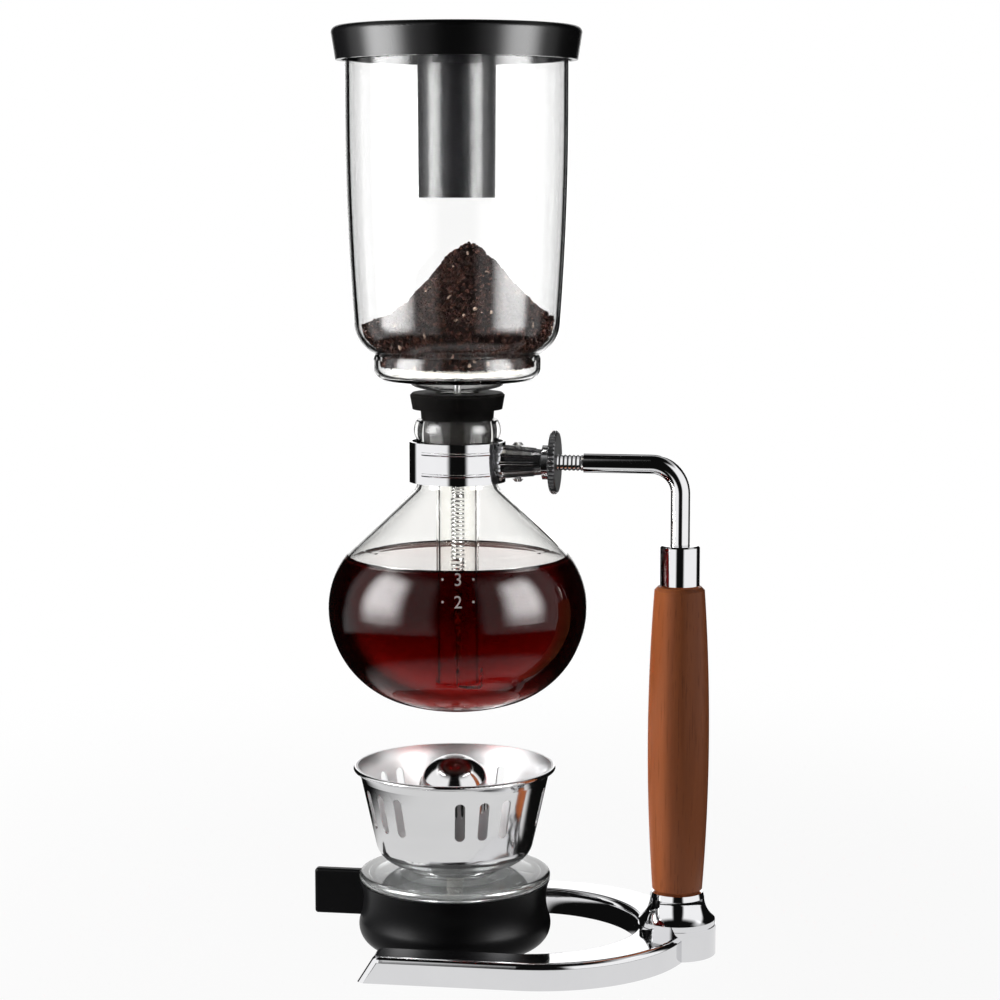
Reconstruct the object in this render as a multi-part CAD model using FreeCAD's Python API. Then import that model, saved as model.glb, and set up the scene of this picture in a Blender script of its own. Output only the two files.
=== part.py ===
import FreeCAD, Part
import math
import os

# Siphon coffee maker: a stand with a wooden grip, a clamped flask, an upper chamber and a spirit burner.
# Millimetres, +Z up from the table, +X from the flask towards the grip. Sizes are about the flask's axis,
# and every piece is moved along X at the end, so that the origin lies under the middle of the whole maker.

# Stand
GRIP_X = 81.2
ROD_R = 3.5
ROD_BEND_R = 10.5
ROD_END_Z = 1.2
ROD_FIT = 0.15
PIN_FIT = 0.1

# Base casting: a horseshoe whose bay takes the burner
BASE_H = 9.5
BAY_CLEARANCE = 6.5
PRONG_WIDTH = 14.0
PRONG_END_X = -27.0
PRONG_END_SLOPE = 6.0
PRONG_CORNER_R = 3.0
BASE_EDGE_R = 2.2
NOSE_PAST_GRIP = 4.8
BOSS_R = 14.2
BOSS_H = 10.8
POCKET_R = 8.5
POCKET_H = 7.0

# Grip
FOOT_H = 12.0
FOOT_SKIRT_R = 13.9
FOOT_FLARE_R = 10.8
FOOT_WAIST_R = 9.9
FOOT_TOP_R = 9.4
FOOT_LIP_H = 2.0
WOOD_LENGTH = 112.5
WOOD_END_R = 9.1
WOOD_BELLY_R = 11.1
WOOD_BELLY_RISE = 53.0
WOOD_EDGE_R = 1.2
FERRULE_R = 7.2
FERRULE_H = 15.0
FERRULE_LIP = 0.6

# Fasteners under the base
WASHER_R = 7.6
WASHER_H = 1.2
NUT_ACROSS_FLATS = 10.0
NUT_H = 3.6

# Flask
FLASK_BOTTOM_Z = 88.1
BULB_R = 47.3
BULB_DEPTH = 37.9
BULB_FLOOR_R = 72.0
BULB_SHOULDER_R = 31.5
CONE_DEG = 47.0
NECK_R = 14.7
NECK_ROOT_R = 3.0
BEAD = 1.2
BEAD_H = 7.4
GLASS = 1.8

# Flask clamp
BAND_H = 14.7
BAND_RISE = 0.75
BAND_SHEET = 1.1
BAND_RIB = 0.55
BAND_RIB_H = 1.3
BAND_RIB_STEP = 7.6
BAND_RIB_SWEEP_DEG = 86.0
BAND_RIB_TURN_DEG = 7.0
LINER = 1.5
LINER_FIT = 0.3
COLLET_LENGTH = 16.5
COLLET_ROOT_R = 6.0
COLLET_TIP_R = 4.4
COLLET_GAP = 1.2
COLLET_RIBS = 5
COLLET_RIB_R = 0.7
COLLET_RIB_LENGTH = 12.0
COLLET_RIB_STEP_DEG = 30.0
RIVET_PAST_BAND = 4.6
RIVET_R = 1.2
RIVET_HEAD_R = 2.1
RIVET_HEAD_H = 1.0
THREAD_R = 3.0
THREAD_DEPTH = 0.45
THREAD_PITCH = 1.5
THREAD_TURNS = 8
THREAD_FIT = 0.1
COLLAR_R = 6.3
COLLAR_CUP = 1.6
COLLAR_WALL = 1.0
COLLAR_FIT = 0.3
WHEEL_R = 11.5
WHEEL_H = 2.6
WHEEL_TEETH = 44
WHEEL_TOOTH = 0.7

# Stopper
MOUTH_PAST_BAND = 7.8
PLUG_SHOWN = 3.9
PLUG_DEPTH = 13.0
PLUG_STEP = 0.5
PLUG_TAPER = 0.8
PLUG_FIT = 0.3
FLANGE_H = 5.9
FLANGE_OVERHANG = 1.3
FLANGE_TAPER = 0.9

# Siphon tube
TUBE_R = 7.8
TUBE_WALL = 1.3
TUBE_CLEARANCE = 10.9
TUBE_FIT = 0.1

# Upper chamber
CHAMBER_R = 40.2
CHAMBER_H = 103.0
CHAMBER_CURVED_H = 75.5
CHAMBER_WALL_R = 1000.0
SHOULDER_H = 12.8
SHOULDER_R = 14.0
SHOULDER_DEG = 58.0
BASIN_R = 30.4
BASIN_WALL_H = 2.8
BASIN_CORNER_R = 5.0
BASIN_FLOOR_DEG = 13.0
BASIN_FIT = 0.3

# Cloth filter
PLATE_MARGIN = 5.6
PLATE_H = 1.0
PLATE_HOLE_R = 1.1
PLATE_HOLE_RINGS = 3
PLATE_HOLE_STEP = 5.4
CLOTH = 1.3
CLOTH_FIT = 0.1
CLOTH_SEAT = 0.2
CLOTH_TURN_IN = 9.0
STEM_R = 1.3
STEM_LENGTH = 14.0
STEM_HEAD_R = 4.2
STEM_HEAD_H = 1.4
SEAT_R = 3.3
SEAT_H = 1.3

# Spring, ball chain and hook
SPRING_R = 2.15
SPRING_WIRE_R = 0.35
SPRING_PITCH = 1.46
SPRING_TURNS = 36
SPRING_END_R = 1.1
BALL_R = 1.2
BALL_STEP = 3.1
LINK_R = 0.4
HOOK_WIRE_R = 0.5
HOOK_DROP = 2.0
HOOK_FIT = 0.3
HOOK_H = 5.0
HOOK_BEND_R = 1.5

# Lid
LID_PLATE = 2.5
LID_FIT = 0.9
LID_WALL = 2.2
LID_FLARE = 1.5
LID_SKIRT_H = 9.3
LID_EDGE_R = 2.2
LID_TUBE_LENGTH = 58.0
LID_TUBE_R = 13.8
LID_TUBE_TAPER = 0.4
LID_TUBE_WALL = 1.3

# Burner cup
BURNER_X = -1.3
CUP_H = 24.0
CUP_BELLY_R = 35.5
CUP_FOOT_INSET = 5.3
CUP_BELLY_Z = 7.5
CUP_WAIST_INSET = 1.7
CUP_WAIST_Z = 17.0
CUP_WALL = 2.2
CUP_FLOOR = 2.4
TAB_REACH = 52.8
TAB_HALF_WIDTH = 2.2
TAB_LOW_Z = 9.0
TAB_H = 17.0
TAB_CORNER_R = 1.2

# Fuel glass and wick
FUEL_FIT = 0.3
FUEL_WALL = 2.2
FUEL_RIM_H = 3.4
FUEL_RIM_PROUD = 0.2
FUEL_DOME_H = 7.0
FUEL_MOUTH_R = 15.5
FUEL_MOUTH_WALL = 2.6
COLLAR_PLUG_FIT = 0.4
COLLAR_PLUG_H = 7.0
COLLAR_LEDGE = 3.5
COLLAR_FLANGE_H = 1.2
WICK_TUBE_H = 12.5
WICK_TUBE_WALL = 0.9
WICK_R = 3.6
WICK_FIT = 0.1
WICK_CLEARANCE = 1.9
WICK_PROUD = 3.0

# Windscreen and snuffer
SCREEN_SHEET = 0.8
SCREEN_H = 36.0
SCREEN_WALL_H = 31.5
SCREEN_FLOOR_R = 20.6
SCREEN_CORNER_R = 8.5
SCREEN_WALL_R = 34.4
SCREEN_FLARE = 0.8
SCREEN_RIM_R = 37.2
SCREEN_ROLL_R = 0.8
SCREEN_FIT = 0.2
SLOT_GROUPS = 5
SLOTS_IN_GROUP = 3
SLOT_STEP_DEG = 15.3
SLOT_FIRST_DEG = -61.4
SLOT_WIDTH = 3.7
SLOT_H = 14.5
SLOT_RISE = 14.5
CAP_R = 13.3
CAP_H = 37.4
CAP_SHEET = 0.9

# Places that follow from the sizes
BAY_R = CUP_BELLY_R + BAY_CLEARANCE
BAY_X = GRIP_X - BOSS_R - BAY_R
BASE_HALF_WIDTH = BAY_R + PRONG_WIDTH
NOSE_X = GRIP_X + NOSE_PAST_GRIP - BASE_HALF_WIDTH
WOOD_Z = BOSS_H + FOOT_H
FERRULE_Z = WOOD_Z + WOOD_LENGTH
BULB_Z = FLASK_BOTTOM_Z + BULB_DEPTH
CONE = math.radians(CONE_DEG)
CONE_REACH = NECK_R + NECK_ROOT_R - BULB_R + BULB_SHOULDER_R
NECK_Z = BULB_Z + (BULB_SHOULDER_R + NECK_ROOT_R - CONE_REACH * math.cos(CONE)) / math.sin(CONE)
BAND_Z = NECK_Z + BAND_RISE
ARM_Z = BAND_Z + BAND_H / 2
BAND_R = NECK_R + LINER_FIT + LINER + BAND_SHEET
COLLET_X = BAND_R - BAND_SHEET
COLLET_TIP_X = COLLET_X + COLLET_LENGTH
COLLET_SLOPE = (COLLET_ROOT_R - COLLET_TIP_R) / COLLET_LENGTH
RIVET_X = BAND_R + RIVET_PAST_BAND
WHEEL_X = COLLET_TIP_X + COLLAR_FIT + COLLAR_WALL
MOUTH_Z = BAND_Z + BAND_H + MOUTH_PAST_BAND
MOUTH_R = NECK_R - GLASS
FLANGE_Z = MOUTH_Z + PLUG_SHOWN
STOPPER_TOP_Z = FLANGE_Z + FLANGE_H
TUBE_END_Z = FLASK_BOTTOM_Z + TUBE_CLEARANCE
DRAIN_R = TUBE_R + TUBE_FIT
FLOOR = math.radians(BASIN_FLOOR_DEG)
BASIN_FLOOR_Z = STOPPER_TOP_Z + BASIN_FIT
BASIN_INNER_Z = BASIN_FLOOR_Z + GLASS / math.cos(FLOOR)
BASIN_EDGE_R = BASIN_R - BASIN_CORNER_R * (1 - math.sin(FLOOR))
BASIN_CORNER_Z = BASIN_FLOOR_Z + (BASIN_EDGE_R - DRAIN_R) * math.tan(FLOOR) + BASIN_CORNER_R * math.cos(FLOOR)
BASIN_TOP_Z = BASIN_CORNER_Z + BASIN_WALL_H
SHOULDER_Z = BASIN_TOP_Z + SHOULDER_H
CHAMBER_TOP_Z = SHOULDER_Z + CHAMBER_H
PLATE_R = BASIN_R - GLASS - PLATE_MARGIN
CLOTH_Z = BASIN_INNER_Z + (PLATE_R + CLOTH_FIT - DRAIN_R) * math.tan(FLOOR) + CLOTH_SEAT
PLATE_Z = CLOTH_Z + CLOTH + CLOTH_FIT
SPRING_TOP_Z = PLATE_Z - STEM_LENGTH
CHAIN_TOP_Z = SPRING_TOP_Z - SPRING_PITCH * SPRING_TURNS - 2 * (SPRING_END_R + 2 * SPRING_WIRE_R)
CHAIN_END_Z = TUBE_END_Z + HOOK_H
CUP_FOOT_R = CUP_BELLY_R - CUP_FOOT_INSET
CUP_WAIST_R = CUP_BELLY_R - CUP_WAIST_INSET
CUP_CORNER_R = (CUP_FOOT_INSET ** 2 + CUP_BELLY_Z ** 2) / (2 * CUP_FOOT_INSET)
CUP_CORNER_X = CUP_BELLY_R - CUP_CORNER_R
CUP_REACH = math.hypot(CUP_WAIST_R - CUP_CORNER_X, CUP_WAIST_Z - CUP_BELLY_Z)
CUP_FLARE_R = (CUP_REACH ** 2 - CUP_CORNER_R ** 2) / (2 * CUP_WAIST_INSET)
CUP_LIP_R = CUP_WAIST_R + CUP_FLARE_R - math.sqrt(CUP_FLARE_R ** 2 - (CUP_H - CUP_WAIST_Z) ** 2)
FUEL_RIM_R = CUP_LIP_R + FUEL_RIM_PROUD
FUEL_MOUTH_Z = CUP_H + FUEL_DOME_H
COLLAR_PLUG_R = FUEL_MOUTH_R - FUEL_MOUTH_WALL - COLLAR_PLUG_FIT
COLLAR_Z = FUEL_MOUTH_Z + SCREEN_SHEET + SCREEN_FIT
COLLAR_TOP_Z = COLLAR_Z + COLLAR_FLANGE_H
BOX_MIDDLE_X = (GRIP_X + BOSS_R + BURNER_X - TAB_REACH) / 2

V = FreeCAD.Vector
UP = V(0, 0, 1)
ALONG = V(1, 0, 0)
TOLERANCE = 0.01


def section(start, *steps):
    """Closed face in the XZ plane. A step is a corner (r, z), or (through, end) for an arc."""
    edges = []
    here = start
    for step in steps + (start,):
        is_arc = isinstance(step[0], tuple)
        end = step[1] if is_arc else step
        a, b = V(here[0], 0, here[1]), V(end[0], 0, end[1])
        if is_arc:
            edges.append(Part.Arc(a, V(step[0][0], 0, step[0][1]), b).toShape())
        elif (b - a).Length > 1e-7:
            edges.append(Part.makeLine(a, b))
        here = end
    return Part.Face(Part.Wire(edges))


def turned(face):
    """Solid of revolution of a section about the Z axis."""
    return face.revolve(V(0, 0, 0), UP, 360)


def on_arc(center, radius, degrees):
    """Point (r, z) on an arc, with the angle from +r towards +z."""
    angle = math.radians(degrees)
    return (center[0] + radius * math.cos(angle), center[1] + radius * math.sin(angle))


def bend(center, radius, first, last):
    """Arc step for section(), from an angle to another."""
    return (on_arc(center, radius, (first + last) / 2), on_arc(center, radius, last))


def tube(outer, inner, low, high):
    """Upright ring about the Z axis."""
    return turned(section((inner, low), (outer, low), (outer, high), (inner, high)))


def along_x(radius, start, end, z=0.0):
    """Solid cylinder on a line parallel to X."""
    return Part.makeCylinder(radius, end - start, V(start, 0, z), ALONG)


def save(name, shape):
    """Write one node, moved so that the origin is under the middle of the maker."""
    shape = shape.copy()
    shape.translate(V(-BOX_MIDDLE_X, 0, 0))
    shape.exportStep("parts/%s.step" % name)
    print("%-15s %d solid(s) %10.1f mm3 %s" % (name, len(shape.Solids), shape.Volume, shape.isValid()))


def base():
    w, nose, bay, end = BASE_HALF_WIDTH, NOSE_X, BAY_R, PRONG_END_X
    slope_x = end + PRONG_END_SLOPE
    outline = [
        Part.makeLine(V(end, -w, 0), V(nose, -w, 0)),
        Part.Arc(V(nose, -w, 0), V(nose + w, 0, 0), V(nose, w, 0)).toShape(),
        Part.makeLine(V(nose, w, 0), V(end, w, 0)),
        Part.makeLine(V(end, w, 0), V(end, bay, 0)),
        Part.makeLine(V(end, bay, 0), V(BAY_X, bay, 0)),
        Part.Arc(V(BAY_X, bay, 0), V(BAY_X + bay, 0, 0), V(BAY_X, -bay, 0)).toShape(),
        Part.makeLine(V(BAY_X, -bay, 0), V(end, -bay, 0)),
        Part.makeLine(V(end, -bay, 0), V(end, -w, 0)),
    ]
    casting = Part.Face(Part.Wire(outline)).extrude(V(0, 0, BASE_H))
    slope = section((end, 0), (slope_x, BASE_H), (end, BASE_H))
    slope.translate(V(0, -w, 0))
    casting = casting.cut(slope.extrude(V(0, 2 * w, 0)))
    corners = [e for e in casting.Edges
               if e.BoundBox.XMax < slope_x + TOLERANCE and e.BoundBox.ZLength > BASE_H / 2]
    casting = casting.makeFillet(PRONG_CORNER_R, corners)
    rim = [e for e in casting.Edges if e.BoundBox.ZMin > BASE_H - TOLERANCE]
    casting = casting.makeFillet(BASE_EDGE_R, rim)
    middle = V(GRIP_X, 0, 0)
    casting = casting.fuse(Part.makeCylinder(BOSS_R, BOSS_H, middle))
    casting = casting.cut(Part.makeCylinder(POCKET_R, POCKET_H, middle))
    return casting.cut(Part.makeCylinder(ROD_R + ROD_FIT, BOSS_H, middle)).removeSplitter()


def at_grip(shape):
    shape.translate(V(GRIP_X, 0, 0))
    return shape


def handle_foot():
    bore = ROD_R + ROD_FIT
    skirt_z, collar_z = BOSS_H + FOOT_LIP_H, WOOD_Z - FOOT_LIP_H
    return at_grip(turned(section(
        (bore, BOSS_H), (FOOT_SKIRT_R, BOSS_H), (FOOT_SKIRT_R, skirt_z),
        ((FOOT_FLARE_R, (skirt_z + collar_z) / 2), (FOOT_WAIST_R, collar_z)),
        (FOOT_TOP_R, WOOD_Z), (bore, WOOD_Z))))


def wood_handle():
    bore = ROD_R + ROD_FIT
    low, high = WOOD_Z, FERRULE_Z
    end_r = WOOD_END_R - WOOD_EDGE_R
    return at_grip(turned(section(
        (bore, low), (end_r, low), (WOOD_END_R, low + WOOD_EDGE_R),
        ((WOOD_BELLY_R, WOOD_Z + WOOD_BELLY_RISE), (WOOD_END_R, high - WOOD_EDGE_R)),
        (end_r, high), (bore, high))))


def ferrule():
    bore = ROD_R + ROD_FIT
    low, high, lip = FERRULE_Z, FERRULE_Z + FERRULE_H, FERRULE_LIP
    return at_grip(turned(section(
        (bore, low), (FERRULE_R - lip, low), (FERRULE_R, low + lip), (FERRULE_R, high - lip),
        (FERRULE_R - lip, high), (bore, high))))


def about_arm(face):
    """Turn a section (radius, distance along the arm) about the arm's axis."""
    body = turned(face)
    body.rotate(V(0, 0, 0), V(0, 1, 0), 90)
    body.translate(V(0, 0, ARM_Z))
    return body


def threaded_end():
    """Rod end on the arm's axis: plain in the collet, ridged where the wheel runs."""
    root = THREAD_R - THREAD_DEPTH
    start = RIVET_X - 2 * RIVET_R
    points = [(0, start), (root, start), (root, WHEEL_X)]
    for turn in range(THREAD_TURNS):
        foot = WHEEL_X + turn * THREAD_PITCH
        points.append((THREAD_R, foot + THREAD_PITCH / 2))
        points.append((root, foot + THREAD_PITCH))
    shoulder_x = points[-1][1]
    points.append((0, shoulder_x))
    return about_arm(section(*points)), shoulder_x


def arm_rod():
    screw, shoulder_x = threaded_end()
    bend_z, bend_x = ARM_Z - ROD_BEND_R, GRIP_X - ROD_BEND_R
    upright = Part.makeCylinder(ROD_R, bend_z - ROD_END_Z, V(GRIP_X, 0, ROD_END_Z))
    disc = Part.Face(Part.Wire(Part.makeCircle(ROD_R, V(GRIP_X, 0, bend_z), UP)))
    elbow = disc.revolve(V(bend_x, 0, bend_z), V(0, -1, 0), 90)
    level = along_x(ROD_R, shoulder_x, bend_x, ARM_Z)
    hole = Part.makeCylinder(RIVET_R + PIN_FIT, 2 * THREAD_R, V(RIVET_X, 0, ARM_Z - THREAD_R))
    return upright.fuse([elbow, level, screw]).removeSplitter().cut(hole)


def foot_washer():
    return at_grip(tube(WASHER_R, ROD_R + ROD_FIT, POCKET_H - WASHER_H, POCKET_H))


def foot_nut():
    top = POCKET_H - WASHER_H
    corner = NUT_ACROSS_FLATS / math.sqrt(3)
    turns = [k * math.pi / 3 for k in range(7)]
    ring = [V(corner * math.cos(turn), corner * math.sin(turn), top - NUT_H) for turn in turns]
    nut = Part.Face(Part.makePolygon(ring)).extrude(V(0, 0, NUT_H))
    return at_grip(nut.cut(Part.makeCylinder(ROD_R + ROD_FIT, top)))


def flask_side(inset):
    """Section steps up the bulb from its bottom to its neck, with the wall's surface moved in by inset."""
    floor = (0, FLASK_BOTTOM_Z + BULB_FLOOR_R)
    rise = floor[1] - BULB_Z
    knuckle_r = (BULB_FLOOR_R ** 2 - BULB_R ** 2 - rise ** 2) / (2 * (BULB_FLOOR_R - BULB_R))
    knuckle = (BULB_R - knuckle_r, BULB_Z)
    shoulder = (BULB_R - BULB_SHOULDER_R, BULB_Z)
    root = (NECK_R + NECK_ROOT_R, NECK_Z)
    meet_deg = -math.degrees(math.atan2(rise, knuckle[0]))
    return [
        bend(floor, BULB_FLOOR_R - inset, -90, meet_deg),
        bend(knuckle, knuckle_r - inset, meet_deg, 0),
        bend(shoulder, BULB_SHOULDER_R - inset, 0, CONE_DEG),
        on_arc(root, NECK_ROOT_R + inset, 180 + CONE_DEG),
        bend(root, NECK_ROOT_R + inset, 180 + CONE_DEG, 180),
    ]


def vessel(inset):
    """Solid inside one surface of the bulb, closed at the mouth by a flat."""
    radius = NECK_R - inset
    low = (0, FLASK_BOTTOM_Z + inset)
    return turned(section(low, *flask_side(inset), (radius, MOUTH_Z), (0, MOUTH_Z)))


def flask():
    low = MOUTH_Z - BEAD_H
    middle = (NECK_R + BEAD, MOUTH_Z - BEAD_H / 2)
    bead = turned(section((0, low), (NECK_R, low), (middle, (NECK_R, MOUTH_Z)), (0, MOUTH_Z)))
    return vessel(0).fuse(bead).removeSplitter().cut(vessel(GLASS))


def collet():
    """Tapered split end of the clamp band, with ribs along it."""
    cone = Part.makeCone(COLLET_ROOT_R, COLLET_TIP_R, COLLET_LENGTH, V(COLLET_X, 0, ARM_Z), ALONG)
    ribs = []
    for side in (-1, 1):
        for k in range(COLLET_RIBS):
            turn = math.radians(side * (90 + COLLET_RIB_STEP_DEG * (k - (COLLET_RIBS - 1) / 2)))
            out = V(0, math.sin(turn), math.cos(turn))
            start = V(COLLET_X, 0, ARM_Z) + out * COLLET_ROOT_R
            along = V(COLLET_LENGTH, 0, 0) + out * (COLLET_TIP_R - COLLET_ROOT_R)
            ribs.append(Part.makeCylinder(COLLET_RIB_R, COLLET_RIB_LENGTH, start, along))
    return cone.fuse(ribs)


def clamp_band():
    inner = BAND_R - BAND_SHEET
    middle = BAND_R - BAND_SHEET / 2
    half = BAND_RIB_H / 2
    ribs = []
    for side in (-1, 1):
        z = ARM_Z + side * BAND_RIB_STEP / 2
        profile = section((middle, z - half), (BAND_R, z - half),
                          ((BAND_R + BAND_RIB, z), (BAND_R, z + half)), (middle, z + half))
        for facing in (90, 270):
            rib = profile.revolve(V(0, 0, 0), UP, BAND_RIB_SWEEP_DEG)
            rib.rotate(V(0, 0, 0), UP, facing + BAND_RIB_TURN_DEG - BAND_RIB_SWEEP_DEG / 2)
            ribs.append(rib)
    band = tube(BAND_R, inner, BAND_Z, BAND_Z + BAND_H).fuse(ribs + [collet()])
    rod = along_x(THREAD_R + COLLAR_FIT, 0, COLLET_TIP_X, ARM_Z)
    gap = Part.makeBox(COLLET_TIP_X, COLLET_GAP, BAND_H, V(0, -COLLET_GAP / 2, BAND_Z))
    pin = Part.makeCylinder(RIVET_R + PIN_FIT, BAND_H, V(RIVET_X, 0, BAND_Z))
    neck = Part.makeCylinder(inner, BAND_H, V(0, 0, BAND_Z))
    return band.cut([rod, gap, pin, neck])


def clamp_liner():
    inner = NECK_R + LINER_FIT
    low, high = BAND_Z + BAND_SHEET, BAND_Z + BAND_H - BAND_SHEET
    ring = tube(inner + LINER, inner, low, high)
    return ring.cut(Part.makeBox(BAND_R, COLLET_GAP, BAND_H, V(0, -COLLET_GAP / 2, low)))


def clamp_rivet():
    reach = COLLET_ROOT_R - COLLET_SLOPE * (RIVET_X - COLLET_X) + COLLET_RIB_R
    pin = Part.makeCylinder(RIVET_R, 2 * reach, V(RIVET_X, 0, ARM_Z - reach))
    heads = []
    for side in (-1, 1):
        seat = V(RIVET_X, 0, ARM_Z + side * reach)
        heads.append(Part.makeCone(RIVET_HEAD_R, RIVET_R, RIVET_HEAD_H, seat, UP * side))
    return pin.fuse(heads).removeSplitter()


def clamp_washer():
    """Cupped collar over the collet's tip."""
    cup_x = COLLET_TIP_X - COLLAR_CUP
    floor_x = COLLET_TIP_X + COLLAR_FIT
    throat = COLLET_TIP_R + COLLAR_FIT
    mouth = throat + COLLET_SLOPE * COLLAR_CUP
    bore = THREAD_R + THREAD_FIT
    return about_arm(section((mouth, cup_x), (COLLAR_R, cup_x), (COLLAR_R, WHEEL_X), (bore, WHEEL_X),
                             (bore, floor_x), (throat, floor_x)))


def clamp_nut():
    """Toothed wheel whose edges are bevelled by a barrel."""
    points = []
    for k in range(2 * WHEEL_TEETH + 1):
        radius = WHEEL_R - WHEEL_TOOTH * (k % 2)
        angle = math.pi * k / WHEEL_TEETH
        points.append(V(WHEEL_X, radius * math.cos(angle), ARM_Z + radius * math.sin(angle)))
    wheel = Part.Face(Part.makePolygon(points)).extrude(V(WHEEL_H, 0, 0))
    low, high, edge_r = WHEEL_X, WHEEL_X + WHEEL_H, WHEEL_R - WHEEL_TOOTH
    barrel = about_arm(section((0, low), (edge_r, low), (WHEEL_R, low + WHEEL_TOOTH),
                               (WHEEL_R, high - WHEEL_TOOTH), (edge_r, high), (0, high)))
    return wheel.common(barrel).cut(along_x(THREAD_R + THREAD_FIT, low, high, ARM_Z))


def chamber_side(inset):
    """Section steps from the basin's floor up the shoulder and the wall to the rim."""
    corner = (BASIN_R - BASIN_CORNER_R, BASIN_CORNER_Z)
    wall = (CHAMBER_R - CHAMBER_WALL_R, SHOULDER_Z + CHAMBER_CURVED_H)
    tilt = -math.degrees(math.asin(CHAMBER_CURVED_H / CHAMBER_WALL_R))
    shoulder = on_arc(on_arc(wall, CHAMBER_WALL_R, tilt), SHOULDER_R, 180 + tilt)
    return [
        on_arc(corner, BASIN_CORNER_R - inset, BASIN_FLOOR_DEG - 90),
        bend(corner, BASIN_CORNER_R - inset, BASIN_FLOOR_DEG - 90, 0),
        (BASIN_R - inset, BASIN_TOP_Z + inset / 2),
        on_arc(shoulder, SHOULDER_R - inset, tilt - SHOULDER_DEG),
        bend(shoulder, SHOULDER_R - inset, tilt - SHOULDER_DEG, tilt),
        bend(wall, CHAMBER_WALL_R - inset, tilt, 0),
        (CHAMBER_R - inset, CHAMBER_TOP_Z),
    ]


def upper_chamber():
    solids = []
    for inset, floor_z in ((0, BASIN_FLOOR_Z), (GLASS, BASIN_INNER_Z)):
        side = chamber_side(inset)
        solids.append(turned(section((0, floor_z), (DRAIN_R, floor_z), *side, (0, CHAMBER_TOP_Z))))
    drain = Part.makeCylinder(DRAIN_R, CHAMBER_TOP_Z)
    return solids[0].cut(solids[1]).cut(drain)


def siphon_tube():
    return tube(TUBE_R, TUBE_R - TUBE_WALL, TUBE_END_Z, BASIN_INNER_Z)


def stopper():
    """Tapered plug in the flask's mouth, with a step on its lip and a flange above."""
    low = MOUTH_Z - PLUG_DEPTH
    step_z = MOUTH_Z + PLUG_FIT
    seat_r = MOUTH_R - PLUG_FIT
    plug_r = MOUTH_R + PLUG_STEP
    flange_r = NECK_R + BEAD + FLANGE_OVERHANG
    return turned(section(
        (DRAIN_R, low), (seat_r - PLUG_TAPER, low), (seat_r, step_z), (plug_r - PLUG_FIT, step_z),
        (plug_r, FLANGE_Z), (flange_r - FLANGE_TAPER, FLANGE_Z), (flange_r, STOPPER_TOP_Z - FLANGE_TAPER),
        (flange_r - FLANGE_TAPER, STOPPER_TOP_Z), (DRAIN_R, STOPPER_TOP_Z)))


def filter_plate():
    plate = tube(PLATE_R, STEM_R + PIN_FIT, PLATE_Z, PLATE_Z + PLATE_H)
    holes = []
    for ring in range(1, PLATE_HOLE_RINGS + 1):
        count = 6 * ring
        for k in range(count):
            angle = 2 * math.pi * k / count
            out = V(math.cos(angle), math.sin(angle), 0)
            spot = out * (ring * PLATE_HOLE_STEP + STEM_R) + UP * PLATE_Z
            holes.append(Part.makeCylinder(PLATE_HOLE_R, PLATE_H, spot))
    return plate.cut(holes)


def filter_cloth():
    """Cloth drawn over the plate and turned in under its edge."""
    inner, outer = PLATE_R + CLOTH_FIT, PLATE_R + CLOTH_FIT + CLOTH
    low, high = PLATE_Z - CLOTH_FIT, PLATE_Z + PLATE_H + CLOTH_FIT
    hem = PLATE_R - CLOTH_TURN_IN
    stem_r = STEM_HEAD_R + CLOTH_FIT
    return turned(section(
        (stem_r, high), (inner, high), (inner, low), (hem, low), (hem, low - CLOTH), (inner, low - CLOTH),
        ((outer, (low + high) / 2), (inner, high + CLOTH)), (stem_r, high + CLOTH)))


def filter_stem():
    """Rivet through the plate, with a flat seat for the spring below."""
    seat_z, head_z = SPRING_TOP_Z + SEAT_H, PLATE_Z + PLATE_H
    return turned(section(
        (0, SPRING_TOP_Z), (SEAT_R, SPRING_TOP_Z), (SEAT_R, seat_z), (STEM_R, seat_z), (STEM_R, head_z),
        (STEM_HEAD_R, head_z), (STEM_HEAD_R - STEM_HEAD_H / 2, head_z + STEM_HEAD_H),
        (0, head_z + STEM_HEAD_H)))


def arc_from(start, heading, end):
    """Arc that leaves start along heading and reaches end."""
    chord = end - start
    normal = chord - heading * chord.dot(heading)
    if normal.Length < 1e-9:
        return Part.makeLine(start, end)
    normal.normalize()
    radius = chord.dot(chord) / (2 * chord.dot(normal))
    center = start + normal * radius
    middle = (start + end) * 0.5 - center
    middle.normalize()
    return Part.Arc(start, center + middle * radius, end).toShape()


def biarc(start, start_dir, end, end_dir):
    """Two arcs that join start to end, smooth at both ends and where they meet."""
    gap = end - start
    both = start_dir + end_dir
    spread = 2 * (1 - start_dir.dot(end_dir))
    along = gap.dot(both)
    reach = (-along + math.sqrt(along * along + spread * gap.dot(gap))) / spread
    middle = (start + end + (start_dir - end_dir) * reach) * 0.5
    last = arc_from(end, end_dir * -1, middle)
    return [arc_from(start, start_dir, middle), last]


def spring_points():
    """Quarter-turn points and headings of the spring's helix, from its foot to its top."""
    foot_z = CHAIN_TOP_Z + SPRING_END_R + 2 * SPRING_WIRE_R
    stops = []
    for quarter in range(4 * SPRING_TURNS + 1):
        angle = quarter * math.pi / 2
        round_x, round_y = SPRING_R * math.cos(angle), SPRING_R * math.sin(angle)
        place = V(round_x, round_y, foot_z + SPRING_PITCH * quarter / 4)
        heading = V(-round_y, round_x, SPRING_PITCH / (2 * math.pi))
        heading.normalize()
        stops.append((place, heading))
    return stops


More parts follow.
